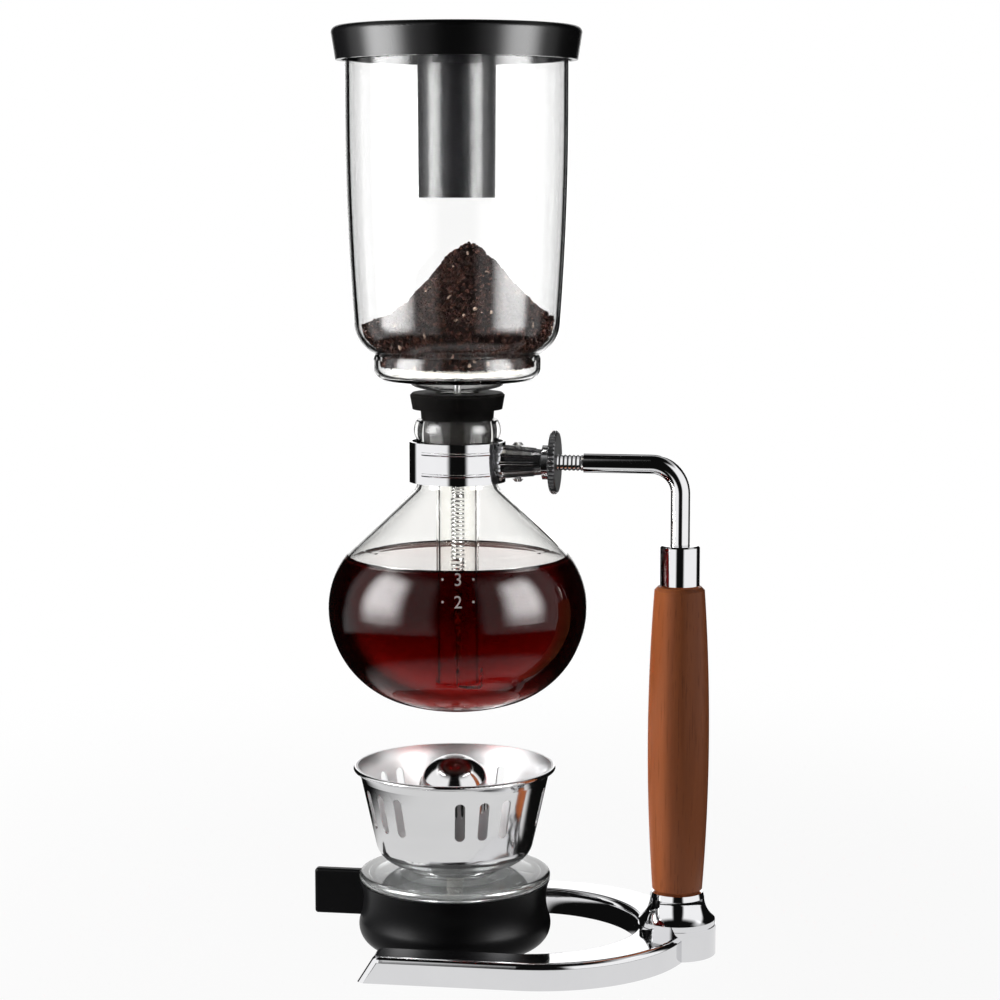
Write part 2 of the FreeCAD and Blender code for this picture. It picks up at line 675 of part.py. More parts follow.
def filter_spring():
    """Coil spring as one wire, which turns upright at both ends to meet its seats."""
    stops = spring_points()
    run = 2 * SPRING_WIRE_R
    first, first_dir = stops[0]
    foot_turn = V(first.x, first.y - SPRING_END_R, CHAIN_TOP_Z + run)
    path = [Part.makeLine(foot_turn - UP * run, foot_turn)]
    path += biarc(foot_turn, UP, first, first_dir)
    for (place, heading), (next_place, next_heading) in zip(stops, stops[1:]):
        path += biarc(place, heading, next_place, next_heading)
    last, last_dir = stops[-1]
    top_turn = V(last.x, last.y + SPRING_END_R, SPRING_TOP_Z - run)
    path += biarc(last, last_dir, top_turn, UP)
    path.append(Part.makeLine(top_turn, top_turn + UP * run))
    profile = Part.Wire(Part.makeCircle(SPRING_WIRE_R, foot_turn - UP * run, UP))
    pitch_gap = min((a[0] - b[0]).Length for a, b in zip(stops, stops[4:])) - 2 * SPRING_WIRE_R
    across = 2 * SPRING_R - 2 * SPRING_WIRE_R
    print("spring: least gap to itself %.2f mm" % min(pitch_gap, across))
    return Part.Wire(path).makePipeShell([profile], True, False)


def bead_chain():
    """Balls on a thin link, under a flat seat that takes the spring."""
    seat_z = CHAIN_TOP_Z - SEAT_H
    length = seat_z - CHAIN_END_Z
    seat = Part.makeCylinder(SEAT_R, SEAT_H, V(0, 0, seat_z))
    count = int(length / BALL_STEP)
    balls = [Part.makeSphere(BALL_R, V(0, 0, seat_z - BALL_R - k * BALL_STEP)) for k in range(count)]
    link = Part.makeCylinder(LINK_R, length, V(0, 0, CHAIN_END_Z))
    return seat.fuse(balls + [link])


def chain_hook():
    """Wire from the chain's end, out under the siphon tube's rim and up outside it."""
    wire_r, turn = HOOK_WIRE_R, HOOK_BEND_R
    low, top = TUBE_END_Z - HOOK_DROP, CHAIN_END_Z
    out = TUBE_R + HOOK_FIT + wire_r
    diagonal = turn * (1 - math.sqrt(0.5))
    path = Part.Wire([
        Part.makeLine(V(0, 0, top), V(0, 0, low + turn)),
        Part.Arc(V(0, 0, low + turn), V(diagonal, 0, low + diagonal), V(turn, 0, low)).toShape(),
        Part.makeLine(V(turn, 0, low), V(out - turn, 0, low)),
        Part.Arc(V(out - turn, 0, low), V(out - diagonal, 0, low + diagonal), V(out, 0, low + turn)).toShape(),
        Part.makeLine(V(out, 0, low + turn), V(out, 0, top)),
    ])
    profile = Part.Wire(Part.makeCircle(wire_r, V(0, 0, top), UP))
    return path.makePipeShell([profile], True, False)


def lid():
    """Flanged lid over the chamber's rim, with a tube below that takes the chamber's stem upside down."""
    top = CHAMBER_TOP_Z + LID_PLATE
    skirt_z = CHAMBER_TOP_Z - LID_SKIRT_H
    tube_z = CHAMBER_TOP_Z - LID_TUBE_LENGTH
    inner = CHAMBER_R + LID_FIT
    skirt_r = inner + LID_WALL
    bore = LID_TUBE_R - LID_TUBE_WALL
    edge = (skirt_r + LID_FLARE - LID_EDGE_R, top - LID_EDGE_R)
    return turned(section(
        (0, top), (edge[0], top), bend(edge, LID_EDGE_R, 90, 0), (skirt_r, skirt_z), (inner, skirt_z),
        (inner, CHAMBER_TOP_Z), (LID_TUBE_R + LID_TUBE_TAPER, CHAMBER_TOP_Z), (LID_TUBE_R, tube_z),
        (bore, tube_z), (bore, CHAMBER_TOP_Z), (0, CHAMBER_TOP_Z)))


def at_burner(shape):
    shape.translate(V(BURNER_X, 0, 0))
    return shape


def burner_body():
    """Cup with a rounded foot, a waist and a flared lip, and a flat tab to hold it by."""
    corner = (CUP_CORNER_X, CUP_BELLY_Z)
    flare = (CUP_WAIST_R + CUP_FLARE_R, CUP_WAIST_Z)
    foot_deg = -math.degrees(math.atan2(CUP_BELLY_Z, CUP_FOOT_R - CUP_CORNER_X))
    meet_deg = math.degrees(math.atan2(CUP_WAIST_Z - CUP_BELLY_Z, flare[0] - CUP_CORNER_X))
    lip_deg = math.degrees(math.asin((CUP_H - CUP_WAIST_Z) / CUP_FLARE_R))
    inner = CUP_WAIST_R - CUP_WALL
    cup = turned(section(
        (0, 0), (CUP_FOOT_R, 0), bend(corner, CUP_CORNER_R, foot_deg, meet_deg),
        bend(flare, CUP_FLARE_R, 180 + meet_deg, 180 - lip_deg),
        (inner, CUP_H), (inner, CUP_FLOOR), (0, CUP_FLOOR)))
    tab = Part.makeBox(TAB_REACH - inner, 2 * TAB_HALF_WIDTH, TAB_H, V(-TAB_REACH, -TAB_HALF_WIDTH, TAB_LOW_Z))
    free = [e for e in tab.Edges if e.BoundBox.XMax < -TAB_REACH + TOLERANCE or e.BoundBox.XLength > TAB_H / 2]
    tab = tab.makeFillet(TAB_CORNER_R, free)
    rim = Part.makeCylinder(FUEL_RIM_R + FUEL_FIT, TAB_H, V(0, 0, CUP_H))
    well = Part.makeCylinder(inner, TAB_LOW_Z + TAB_H)
    return at_burner(cup.fuse(tab.cut([rim, well])).removeSplitter())


def fuel_glass():
    """Glass reservoir inside the cup, with a bead on the cup's lip and a domed top."""
    outer = CUP_WAIST_R - CUP_WALL - FUEL_FIT
    wall = FUEL_WALL
    rim_top = CUP_H + FUEL_RIM_H
    rim_in = FUEL_RIM_R - FUEL_RIM_H / 2
    mouth_in = FUEL_MOUTH_R - FUEL_MOUTH_WALL
    neck_z = FUEL_MOUTH_Z - wall
    return at_burner(turned(section(
        (0, CUP_FLOOR), (outer, CUP_FLOOR), (outer, CUP_H), (rim_in, CUP_H),
        ((FUEL_RIM_R, CUP_H + FUEL_RIM_H / 2), (rim_in, rim_top)), (FUEL_MOUTH_R + wall, neck_z),
        (FUEL_MOUTH_R, FUEL_MOUTH_Z), (mouth_in, FUEL_MOUTH_Z), (mouth_in, neck_z - wall),
        (outer - wall, CUP_H - wall), (outer - wall, CUP_FLOOR + wall), (0, CUP_FLOOR + wall))))


def wick_collar():
    """Plug in the reservoir's mouth, with a flange over the windscreen's floor and a tube for the wick."""
    bore = WICK_R + WICK_FIT
    tube_r = bore + WICK_TUBE_WALL
    flange_r = CAP_R + COLLAR_LEDGE
    low, top, tip = COLLAR_Z - COLLAR_PLUG_H, COLLAR_TOP_Z, COLLAR_TOP_Z + WICK_TUBE_H
    return at_burner(turned(section(
        (bore, low), (COLLAR_PLUG_R, low), (COLLAR_PLUG_R, COLLAR_Z), (flange_r, COLLAR_Z), (flange_r, top),
        (tube_r, top), (tube_r, tip), (bore, tip))))


def wick():
    low = CUP_FLOOR + FUEL_WALL + WICK_CLEARANCE
    top = COLLAR_TOP_Z + WICK_TUBE_H + WICK_PROUD
    return at_burner(Part.makeCylinder(WICK_R, top - low, V(0, 0, low)))


def screen_surface(inset):
    """Solid inside one surface of the windscreen bowl."""
    floor = FUEL_MOUTH_Z + inset
    corner = (SCREEN_FLOOR_R, FUEL_MOUTH_Z + SCREEN_CORNER_R)
    flare_z, rim_z = FUEL_MOUTH_Z + SCREEN_WALL_H, FUEL_MOUTH_Z + SCREEN_H
    lean = math.degrees(math.atan2(SCREEN_WALL_R - SCREEN_FLOOR_R - SCREEN_CORNER_R, flare_z - corner[1]))
    flare = (SCREEN_WALL_R + SCREEN_FLARE - inset, (flare_z + rim_z) / 2)
    return turned(section(
        (0, floor), (SCREEN_FLOOR_R, floor), bend(corner, SCREEN_CORNER_R - inset, -90, -lean),
        (SCREEN_WALL_R - inset, flare_z), (flare, (SCREEN_RIM_R - SCREEN_ROLL_R - inset, rim_z)), (0, rim_z)))


def screen_slots():
    """Upright air slots with round ends, in groups round the bowl."""
    low, high = FUEL_MOUTH_Z + SLOT_RISE + SLOT_WIDTH / 2, FUEL_MOUTH_Z + SLOT_RISE + SLOT_H - SLOT_WIDTH / 2
    slots = []
    for group in range(SLOT_GROUPS):
        for k in range(SLOTS_IN_GROUP):
            turn = SLOT_FIRST_DEG + group * 360 / SLOT_GROUPS + (k - (SLOTS_IN_GROUP - 1) / 2) * SLOT_STEP_DEG
            slot = Part.makeBox(SCREEN_RIM_R, SLOT_WIDTH, high - low, V(0, -SLOT_WIDTH / 2, low))
            slot = slot.fuse([along_x(SLOT_WIDTH / 2, 0, SCREEN_RIM_R, z) for z in (low, high)])
            slot.rotate(V(0, 0, 0), UP, turn)
            slots.append(slot)
    return slots


def windscreen():
    roll_z = FUEL_MOUTH_Z + SCREEN_H - SCREEN_ROLL_R
    roll = Part.makeTorus(SCREEN_RIM_R - SCREEN_ROLL_R, SCREEN_ROLL_R, V(0, 0, roll_z))
    bowl = screen_surface(0).cut(screen_surface(SCREEN_SHEET)).fuse(roll)
    hole = Part.makeCylinder(COLLAR_PLUG_R + SCREEN_FIT, FUEL_MOUTH_Z + SCREEN_SHEET)
    return at_burner(bowl.cut([hole] + screen_slots()))


def snuffer_cap():
    top = COLLAR_TOP_Z + CAP_H
    center = (0, top - CAP_R)
    inner = CAP_R - CAP_SHEET
    return at_burner(turned(section(
        (inner, COLLAR_TOP_Z), (CAP_R, COLLAR_TOP_Z), (CAP_R, center[1]), bend(center, CAP_R, 0, 90),
        (0, top - CAP_SHEET), bend(center, inner, 90, 0))))


os.makedirs("parts", exist_ok=True)
for make in (base, handle_foot, wood_handle, ferrule, arm_rod, foot_washer, foot_nut, flask, clamp_band,
             clamp_liner, clamp_rivet, clamp_washer, clamp_nut, upper_chamber, siphon_tube, stopper,
             filter_plate, filter_cloth, filter_stem, filter_spring, bead_chain, chain_hook, lid, burner_body,
             fuel_glass, wick_collar, wick, windscreen, snuffer_cap):
    save(make.__name__, make())
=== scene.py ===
from math import atan2, cos, exp, hypot, pi, radians, sin

import bmesh
import bpy
import numpy as np
from bpy.props import FloatProperty, FloatVectorProperty, IntProperty, PointerProperty
from mathutils import Matrix, Vector, noise


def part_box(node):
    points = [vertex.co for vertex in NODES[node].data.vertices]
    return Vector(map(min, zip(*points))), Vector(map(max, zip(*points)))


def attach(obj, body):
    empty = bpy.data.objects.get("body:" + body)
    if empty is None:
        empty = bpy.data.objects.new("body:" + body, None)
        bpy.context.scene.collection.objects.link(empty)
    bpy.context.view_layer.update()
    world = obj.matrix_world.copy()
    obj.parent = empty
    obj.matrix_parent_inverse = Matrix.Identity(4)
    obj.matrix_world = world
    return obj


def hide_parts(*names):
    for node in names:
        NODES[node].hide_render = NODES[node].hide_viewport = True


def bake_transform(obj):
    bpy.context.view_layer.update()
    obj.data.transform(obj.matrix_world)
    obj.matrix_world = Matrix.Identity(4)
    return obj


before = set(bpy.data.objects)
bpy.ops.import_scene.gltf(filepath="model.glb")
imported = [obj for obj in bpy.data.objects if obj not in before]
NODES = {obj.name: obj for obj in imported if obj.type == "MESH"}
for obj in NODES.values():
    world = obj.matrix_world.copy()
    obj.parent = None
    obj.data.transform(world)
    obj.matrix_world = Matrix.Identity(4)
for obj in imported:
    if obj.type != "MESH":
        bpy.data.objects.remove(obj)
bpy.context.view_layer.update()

bl_info = {
    "name": "Siphon coffee maker",
    "version": (1, 0, 0),
    "blender": (4, 5, 0),
    "location": "3D View > Sidebar > Coffee",
    "description": "Finishes, contents and studio for a siphon coffee maker",
    "category": "Object",
}

# The packed model and the axes its pieces are turned about, in metres
MM = 0.001


def middle_x(node):
    """X of the upright axis of a turned node."""
    low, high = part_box(node)
    return (low[0] + high[0]) / 2


FLASK_X = middle_x("flask")
BURNER_X = middle_x("windscreen")
GRIP_X = middle_x("wood_handle")


# Node trees

def arithmetic(operation):
    """Method of a Value for one operator."""
    return lambda value, other: value.step(operation, value, other)


class Value:
    """Socket that takes part in sums: each step adds a Math node."""

    def __init__(self, tree, socket):
        self.tree, self.socket = tree, socket

    def step(self, operation, *terms):
        return self.tree.add("ShaderNodeMath", dict(enumerate(terms)), {"operation": operation})

    __add__ = __radd__ = arithmetic("ADD")
    __mul__ = __rmul__ = arithmetic("MULTIPLY")
    __sub__, __truediv__, __pow__ = map(arithmetic, ("SUBTRACT", "DIVIDE", "POWER"))

    def __rsub__(self, other):
        return self.step("SUBTRACT", other, self)

    def at(self, name):
        """Another output of the same node."""
        return Value(self.tree, self.socket.node.outputs[name])


class Tree:
    """Node tree, filled one node at a time."""

    def __init__(self, tree):
        self.nodes, self.links = tree.nodes, tree.links

    def add(self, kind, sockets=None, settings=None, out=0):
        """Add a node: its settings first, then its sockets' values or links."""
        node = self.nodes.new(kind)
        for name, value in (settings or {}).items():
            setattr(node, name, value)
        for key, value in (sockets or {}).items():
            if isinstance(value, Value):
                self.links.new(value.socket, node.inputs[key])
            else:
                node.inputs[key].default_value = value
        return Value(self, node.outputs[out]) if node.outputs else node

    def span(self, value, low, high, first=0.0, last=1.0):
        """Smooth step from first to last as the value goes from low to high."""
        return self.add("ShaderNodeMapRange", {0: value, 1: low, 2: high, 3: first, 4: last},
                        {"interpolation_type": "SMOOTHSTEP"})

    def parts(self, vector):
        """X, Y and Z of a vector."""
        apart = self.add("ShaderNodeSeparateXYZ", {0: vector})
        return apart.at("X"), apart.at("Y"), apart.at("Z")


def shade(colour, share):
    """Darker or lighter colour."""
    return [min(1.0, share * c) for c in colour]


class Finish(Tree):
    """Material of one finish, patterned in the object's own coordinates."""

    def __init__(self, name):
        self.material = bpy.data.materials.new(name)
        self.material.use_nodes = True
        super().__init__(self.material.node_tree)
        self.nodes.clear()
        self.place = self.add("ShaderNodeTexCoord", out="Object")

    def mapped(self, centre, scale=(1, 1, 1)):
        """Coordinates about a centre, stretched along each axis."""
        shift = tuple(-c * s for c, s in zip(centre, scale))
        return self.add("ShaderNodeMapping", {"Vector": self.place, "Location": shift, "Scale": scale})

    def noise(self, scale, detail=2.0, roughness=0.5, distortion=0.0, place=None):
        return self.add("ShaderNodeTexNoise", {
            "Vector": place or self.place, "Scale": scale, "Detail": detail, "Roughness": roughness,
            "Distortion": distortion})

    def around(self, axis_x):
        """Distance from an upright axis, turn about it, and height."""
        x, y, z = self.parts(self.mapped((axis_x, 0, 0)))
        return (x * x + y * y) ** 0.5, y.step("ARCTAN2", y, x), z

    def joined(self, x, y, z):
        return self.add("ShaderNodeCombineXYZ", {"X": x, "Y": y, "Z": z})

    def mix(self, factor, first, last):
        sockets = {0: factor}
        for key, colour in ((6, first), (7, last)):
            sockets[key] = colour if isinstance(colour, Value) else (*colour, 1.0)
        return self.add("ShaderNodeMix", sockets, {"data_type": "RGBA"}, out=2)

    def facing(self):
        """Nought where the surface faces the eye, one at its edge."""
        return self.add("ShaderNodeLayerWeight", {"Blend": 0.5}, out="Facing")

    def shader(self, colour, rough, marks=None, others=None):
        """Shader of a surface, with marks of a height, strength and depth."""
        sockets = {"Base Color": colour, "Roughness": rough, **(others or {})}
        if marks:
            height, strength, depth = marks
            sockets["Normal"] = self.add("ShaderNodeBump", {
                "Height": height, "Strength": strength, "Distance": depth})
        return self.add("ShaderNodeBsdfPrincipled", sockets)

    def clear(self, body, colour):
        """Shader of a clear body, which casts a tinted shadow."""
        shadow = self.add("ShaderNodeLightPath", out="Is Shadow Ray")
        pane = self.add("ShaderNodeBsdfTransparent", {"Color": (*colour, 1.0)})
        return self.add("ShaderNodeMixShader", {0: shadow, 1: body, 2: pane})

    def done(self, surface, volume=None):
        sockets = {"Surface": surface}
        if volume:
            sockets["Volume"] = volume
        self.add("ShaderNodeOutputMaterial", sockets)
        return self.material


class Recipe(Tree):
    """Geometry node tree with named inputs, run once and kept as a plain mesh."""

    def __init__(self, name, inputs):
        self.name = name
        self.group = bpy.data.node_groups.new(name, "GeometryNodeTree")
        super().__init__(self.group)
        face = self.group.interface
        face.new_socket("Geometry", in_out="INPUT", socket_type="NodeSocketGeometry")
        self.settings = {}
        for label, (kind, value) in inputs.items():
            socket = face.new_socket(label, in_out="INPUT", socket_type="NodeSocket" + kind)
            self.settings[socket.identifier] = value
        face.new_socket("Geometry", in_out="OUTPUT", socket_type="NodeSocketGeometry")
        self.start = self.nodes.new("NodeGroupInput")

    def __getitem__(self, label):
        """One of the inputs."""
        return Value(self, self.start.outputs[label])

    def random(self, low, high, seed):
        """Random number, or random vector where low is one."""
        if isinstance(low, tuple):
            return self.add("FunctionNodeRandomValue", {0: low, 1: high, "Seed": seed},
                            {"data_type": "FLOAT_VECTOR"})
        return self.add("FunctionNodeRandomValue", {2: low, 3: high, "Seed": seed},
                        {"data_type": "FLOAT"}, out=1)

    def join(self, *parts):
        both = self.add("GeometryNodeJoinGeometry")
        for part in parts:
            self.links.new(part.socket, both.socket.node.inputs[0])
        return both

    def spiral(self, steps, radius, turns, length):
        """Upright spiral of one radius, from the labels of its inputs."""
        return self.add("GeometryNodeCurveSpiral", {
            "Resolution": steps, "Rotations": self[turns], "Start Radius": self[radius],
            "End Radius": self[radius], "Height": self[length]})

    def circle(self, sides, radius):
        return self.add("GeometryNodeCurvePrimitiveCircle",
                        {"Resolution": sides, "Radius": self[radius]})

    def sweep(self, curve, section):
        return self.add("GeometryNodeCurveToMesh",
                        {"Curve": curve, "Profile Curve": section, "Fill Caps": True})

    def placed(self, geometry, place):
        return self.add("GeometryNodeTransform", {"Geometry": geometry, "Translation": self[place]})

    def bake(self, geometry, mesh):
        """Run the tree on a mesh and keep the result as an object with no modifier."""
        plain = self.add("GeometryNodeRealizeInstances", {"Geometry": geometry})
        painted = self.add("GeometryNodeSetMaterial", {"Geometry": plain, "Material": self["Finish"]})
        self.add("NodeGroupOutput", {0: painted})
        piece = new_object(self.name, mesh)
        run = piece.modifiers.new(self.name, "NODES")
        run.node_group = self.group
        for identifier, value in self.settings.items():
            run[identifier] = value
        graph = bpy.context.evaluated_depsgraph_get()
        made = bpy.data.meshes.new_from_object(piece.evaluated_get(graph), depsgraph=graph)
        piece.modifiers.remove(run)
        piece.data = made
        return piece


# Meshes

def new_object(name, mesh):
    piece = bpy.data.objects.new(name, mesh)
    bpy.context.scene.collection.objects.link(piece)
    return piece


def outward(mesh, weld=0.0):
    """Weld near points and turn the faces outward."""
    shape = bmesh.new()
    shape.from_mesh(mesh)
    if weld:
        bmesh.ops.remove_doubles(shape, verts=shape.verts, dist=weld)
    bmesh.ops.recalc_face_normals(shape, faces=shape.faces)
    shape.to_mesh(mesh)
    shape.free()


def skin(name, rows):
    """Mesh through rows of points, each row a ring. A row of one point closes an end."""
    points, starts = [], []
    for row in rows:
        starts.append(len(points))
        points.extend(row)
    faces = []
    for k in range(len(rows) - 1):
        a, b, n, m = starts[k], starts[k + 1], len(rows[k]), len(rows[k + 1])
        count = max(n, m)
        for i in range(count):
            j = (i + 1) % count
            face = [a + i % n, a + j % n, b + j % m, b + i % m]
            faces.append(list(dict.fromkeys(face)))
    mesh = bpy.data.meshes.new(name)
    mesh.from_pydata(points, [], faces)
    outward(mesh)
    return mesh


def turns_round(steps):
    """Angles that share out a full turn."""
    return [2 * pi * k / steps for k in range(steps)]


def beside(axis_x, radius, turn, z):
    """Point at a distance from an upright axis."""
    return axis_x + radius * cos(turn), radius * sin(turn), z


def ring(radius, z, axis_x, steps):
    """Row of points round an upright axis, or one point on it."""
    if radius <= 0:
        return [(axis_x, 0.0, z)]
    return [beside(axis_x, radius, turn, z) for turn in turns_round(steps)]


def smooth(mesh, sharp_degrees=60):
    mesh.polygons.foreach_set("use_smooth", [True] * len(mesh.polygons))
    mesh.set_sharp_from_angle(angle=radians(sharp_degrees))


def wall_points(node, middle_z, inside):
    """Places (r, z) on a vessel's inside or outside, as seen from a point on its axis."""
    mesh = NODES[node].data
    found = set()
    for face in mesh.polygons:
        inward = Vector((FLASK_X, 0.0, middle_z)) - face.center
        if (face.normal.dot(inward) > 0) == inside:
            found.update(face.vertices)
    spots = [mesh.vertices[v].co for v in found]
    return sorted((round(hypot(x - FLASK_X, y), 6), round(z, 6)) for x, y, z in spots)


def paint(material, *names):
    """Give CAD nodes a finish."""
    for name in names:
        for place in NODES[name].material_slots:
            place.material = material


def settle(piece, body, material=None, stands_for=()):
    """Set a finished piece on its body."""
    if material:
        piece.data.materials.clear()
        piece.data.materials.append(material)
    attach(piece, body)
    if stands_for:
        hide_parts(*stands_for)


# Settings that a user would change

def setting(kind, scale=1, **fixed):
    """Maker of settings of one kind, whose defaults are scaled."""
    return lambda name, description, default, **more: kind(
        name=name, description=description, default=default * scale, **fixed, **more)


a_number = setting(FloatProperty)
a_length = setting(FloatProperty, MM, subtype="DISTANCE", unit="LENGTH", precision=5)
an_angle = setting(FloatProperty, radians(1.0), subtype="ANGLE")
a_power = setting(FloatProperty, unit="POWER")
a_count = setting(IntProperty)
a_place = setting(FloatVectorProperty, subtype="TRANSLATION", unit="LENGTH")
a_colour = setting(FloatVectorProperty, subtype="COLOR", size=3, min=0.0, max=1.0)


class StageSettings(bpy.types.PropertyGroup):
    """Camera and light."""

    eye: a_place("Camera place", "Where the camera stands", (0.14209, -0.92888, 0.28092))
    turn: an_angle("Camera turn", "About the upright axis", 9.0)
    tilt: an_angle("Camera tilt", "How far the camera looks down", 7.0)
    lens: a_number("Focal length", "Of a 36 mm wide sensor", 93.96, unit="CAMERA")
    left_light: a_power("Left softbox", "Power of the softbox on the left", 39.0)
    right_light: a_power("Right softbox", "Power of the softbox on the right", 2.5)
    left_shine: a_power("Left shine", "Power of the left softbox in reflections", 30.0)
    right_shine: a_power("Right shine", "Power of the right softbox in reflections", 28.5)
    steel_shine: a_power("Steel shine", "Power of both softboxes in the windscreen", 14.0)
    fill: a_number("Fill", "Even light from all round", 0.11, min=0.0, max=1.0)
    floor: a_colour("Floor", "Colour of the table", (0.86, 0.86, 0.86))


class GlassSettings(bpy.types.PropertyGroup):
    """Glassware."""

    flask: a_colour("Flask", "Tint of the lower flask", (1.0, 0.999, 0.986))
    chamber: a_colour("Chamber", "Tint of the upper chamber", (0.998, 0.998, 0.996))
    tube: a_colour("Tube", "Tint of the siphon tube", (0.975, 0.973, 0.955))
    fuel: a_colour("Fuel glass", "Tint of the burner's reservoir", (0.95, 0.965, 0.96))
    # Painted shade: the tint painted where the glass is seen edge on
    edge: a_colour("Edge", "Tint where the glass is seen edge on", (0.56, 0.56, 0.565))
    flask_ior: a_number("Flask index", "Its index of refraction", 1.26)
    chamber_ior: a_number("Chamber index", "Its index of refraction", 1.29)
    tube_ior: a_number("Tube index", "Its index of refraction", 1.12)
    fuel_ior: a_number("Fuel glass index", "Its index of refraction", 1.55)


class CoffeeSettings(bpy.types.PropertyGroup):
    """Brewed coffee in the flask."""

    level: a_length("Level", "Height above the table", 143.5)
    overlap: a_length("Wetting", "How far it reaches into the glass", 0.3)
    rise: a_length("Meniscus", "Rise of the liquid at the glass", 1.4)
    colour: a_colour("Colour", "What thin coffee lets through", (0.77, 0.10, 0.06))
    density: a_number("Strength", "How fast light is lost in the coffee", 102.0)


class GroundsSettings(bpy.types.PropertyGroup):
    """Ground coffee in the upper chamber."""

    peak: a_length("Peak", "Height above the table", 258.3)
    peak_x: a_length("Peak offset", "Its distance from the chamber's axis", 4.5)
    floor: a_length("Floor", "Height of the underside", 214.7)
    gap: a_length("Gap", "Room for grains at the glass", 1.4)
    grain: a_length("Grain", "Usual radius of a grain", 1.05)
    density: a_number("Grains", "Grains on a square millimetre", 0.55)
    dark: a_colour("Dark roast", "Colour of the darkest grains", (0.0018, 0.0007, 0.0005))
    light: a_colour("Light roast", "Colour of the palest grains", (0.024, 0.0092, 0.0062))
    seed: a_count("Seed", "Fixes the grains' places", 7)


class FilterSettings(bpy.types.PropertyGroup):
    """Filter cloth and its spring."""

    cloth: a_colour("Cloth", "Colour of the filter cloth", (0.80, 0.76, 0.68))
    cut: a_length("Cut", "Diameter of the round cut", 69.0)
    thickness: a_length("Thickness", "Thickness of the cloth", 0.8)
    pleats: a_count("Gathers", "Gathers under the plate's edge", 22)
    coil: a_length("Coil", "Radius of the spring's coil", 2.15)
    wire: a_length("Wire", "Radius of the spring's wire", 0.35)
    turns: a_number("Turns", "Turns of the spring", 37.0)


class WickSettings(bpy.types.PropertyGroup):
    """Wick of the burner."""

    cotton: a_colour("Cotton", "Colour of the wick", (0.82, 0.78, 0.69))
    strands: a_count("Strands", "Strands twisted together", 6)
    strand: a_length("Strand", "Radius of one strand", 1.22)
    lay: a_length("Lay", "Radius of the strands' twist", 2.3)
    turns: a_number("Turns", "Turns of the twist", 2.6)


class MarkSettings(bpy.types.PropertyGroup):
    """Level marks printed on the flask."""

    height: a_length("Figure", "Height of a figure", 4.2)
    low: a_length("Lower mark", "Height above the table", 132.9)
    high: a_length("Upper mark", "Height above the table", 140.3)
    facing: an_angle("Facing", "Turn of the marks about the flask", -80.0)
    ink: a_colour("Ink", "Colour of the print", (0.96, 0.95, 0.93))


class WoodSettings(bpy.types.PropertyGroup):
    """Wooden grip."""

    light: a_colour("Light wood", "Colour between the grain lines", (0.420, 0.122, 0.039))
    dark: a_colour("Dark wood", "Colour of the grain lines", (0.240, 0.064, 0.020))


SETTINGS = {"stage": StageSettings, "glass": GlassSettings, "coffee": CoffeeSettings,
            "grounds": GroundsSettings, "filter": FilterSettings, "wick": WickSettings,
            "marks": MarkSettings, "wood": WoodSettings}


def settings(group):
    return getattr(bpy.context.scene, "siphon_" + group)


# Stage

def angles(*degrees):
    return tuple(radians(d) for d in degrees)


SENSOR_MM = 36.0
# Softboxes, and those seen in reflections: reach, middle height, width and height
SOFTBOX, SHINE = (1.05, 0.335, 0.70, 0.64), (0.46, 0.31, 0.44, 0.62)
# Their turns from the camera, left and right
SOFTBOX_TURNS, SHINE_TURNS = angles(-94.0, 75.0), angles(-70.0, 60.0)
# Shares of their size, from the middle, between which their light fades
SOFTBOX_FADE = (0.12, 0.5)
# Pieces that show the near softboxes, and those that show a pair farther off
GLOSSY = ("flask", "upper_chamber", "siphon_tube", "fuel_glass", "lid", "burner_body")
SPUN = ("windscreen", "wick_collar")
# What reflections see, by the turn from the camera: dark in front and at a flag on each side behind
DARK_FRONT = angles(16.0, 28.0)
LEFT_FLAG, RIGHT_FLAG = angles(110.0, 122.0, 160.0, 167.0), angles(100.0, 112.0, 160.0, 167.0)
# Turn at which the side walls give way to the brighter wall behind
WALL_BEHIND = angles(160.0, 170.0)
# Rises between which the walls give way to the dark ceiling, at the sides and behind
SIDE_CEILING, BACK_CEILING = (0.66, 0.86), (0.28, 0.46)
STUDIO_DARK, SIDE_WHITE, BACK_WHITE = 0.005, 1.12, 1.45
# White panel overhead: its rises, and the turns at which it starts
PANEL, PANEL_FROM, PANEL_WHITE = (0.64, 0.72, 0.84, 0.92), angles(70.0, 95.0), 0.5
# Floor in reflections: reaches at which a white sheet ends, and the dark round it
SHEET_END, SHEET_WHITE, DARK_END = (0.125, 0.18), 0.86, (0.38, 0.47)
# Floor to the eye: white, less a share near the object that takes its shadow
FLOOR_RINGS, FLOOR_STEPS = (1.0, 4.0), 64
FLOOR_FADE, FLOOR_GLOW = (0.14, 0.55), 0.92
WHITE = (1.0, 1.0, 1.0, 1.0)


def seen_by_eye(tree):
    """One for rays to the camera, in gloss and through glass."""
    path = tree.add("ShaderNodeLightPath", out="Is Camera Ray")
    both = path.step("MAXIMUM", path, path.at("Is Glossy Ray"))
    return path.step("MAXIMUM", both, path.at("Is Transmission Ray"))


def reflected(tree):
    """One for rays that were reflected on their way."""
    path = tree.add("ShaderNodeLightPath", out="Glossy Depth")
    return path.step("GREATER_THAN", path, 0.5)


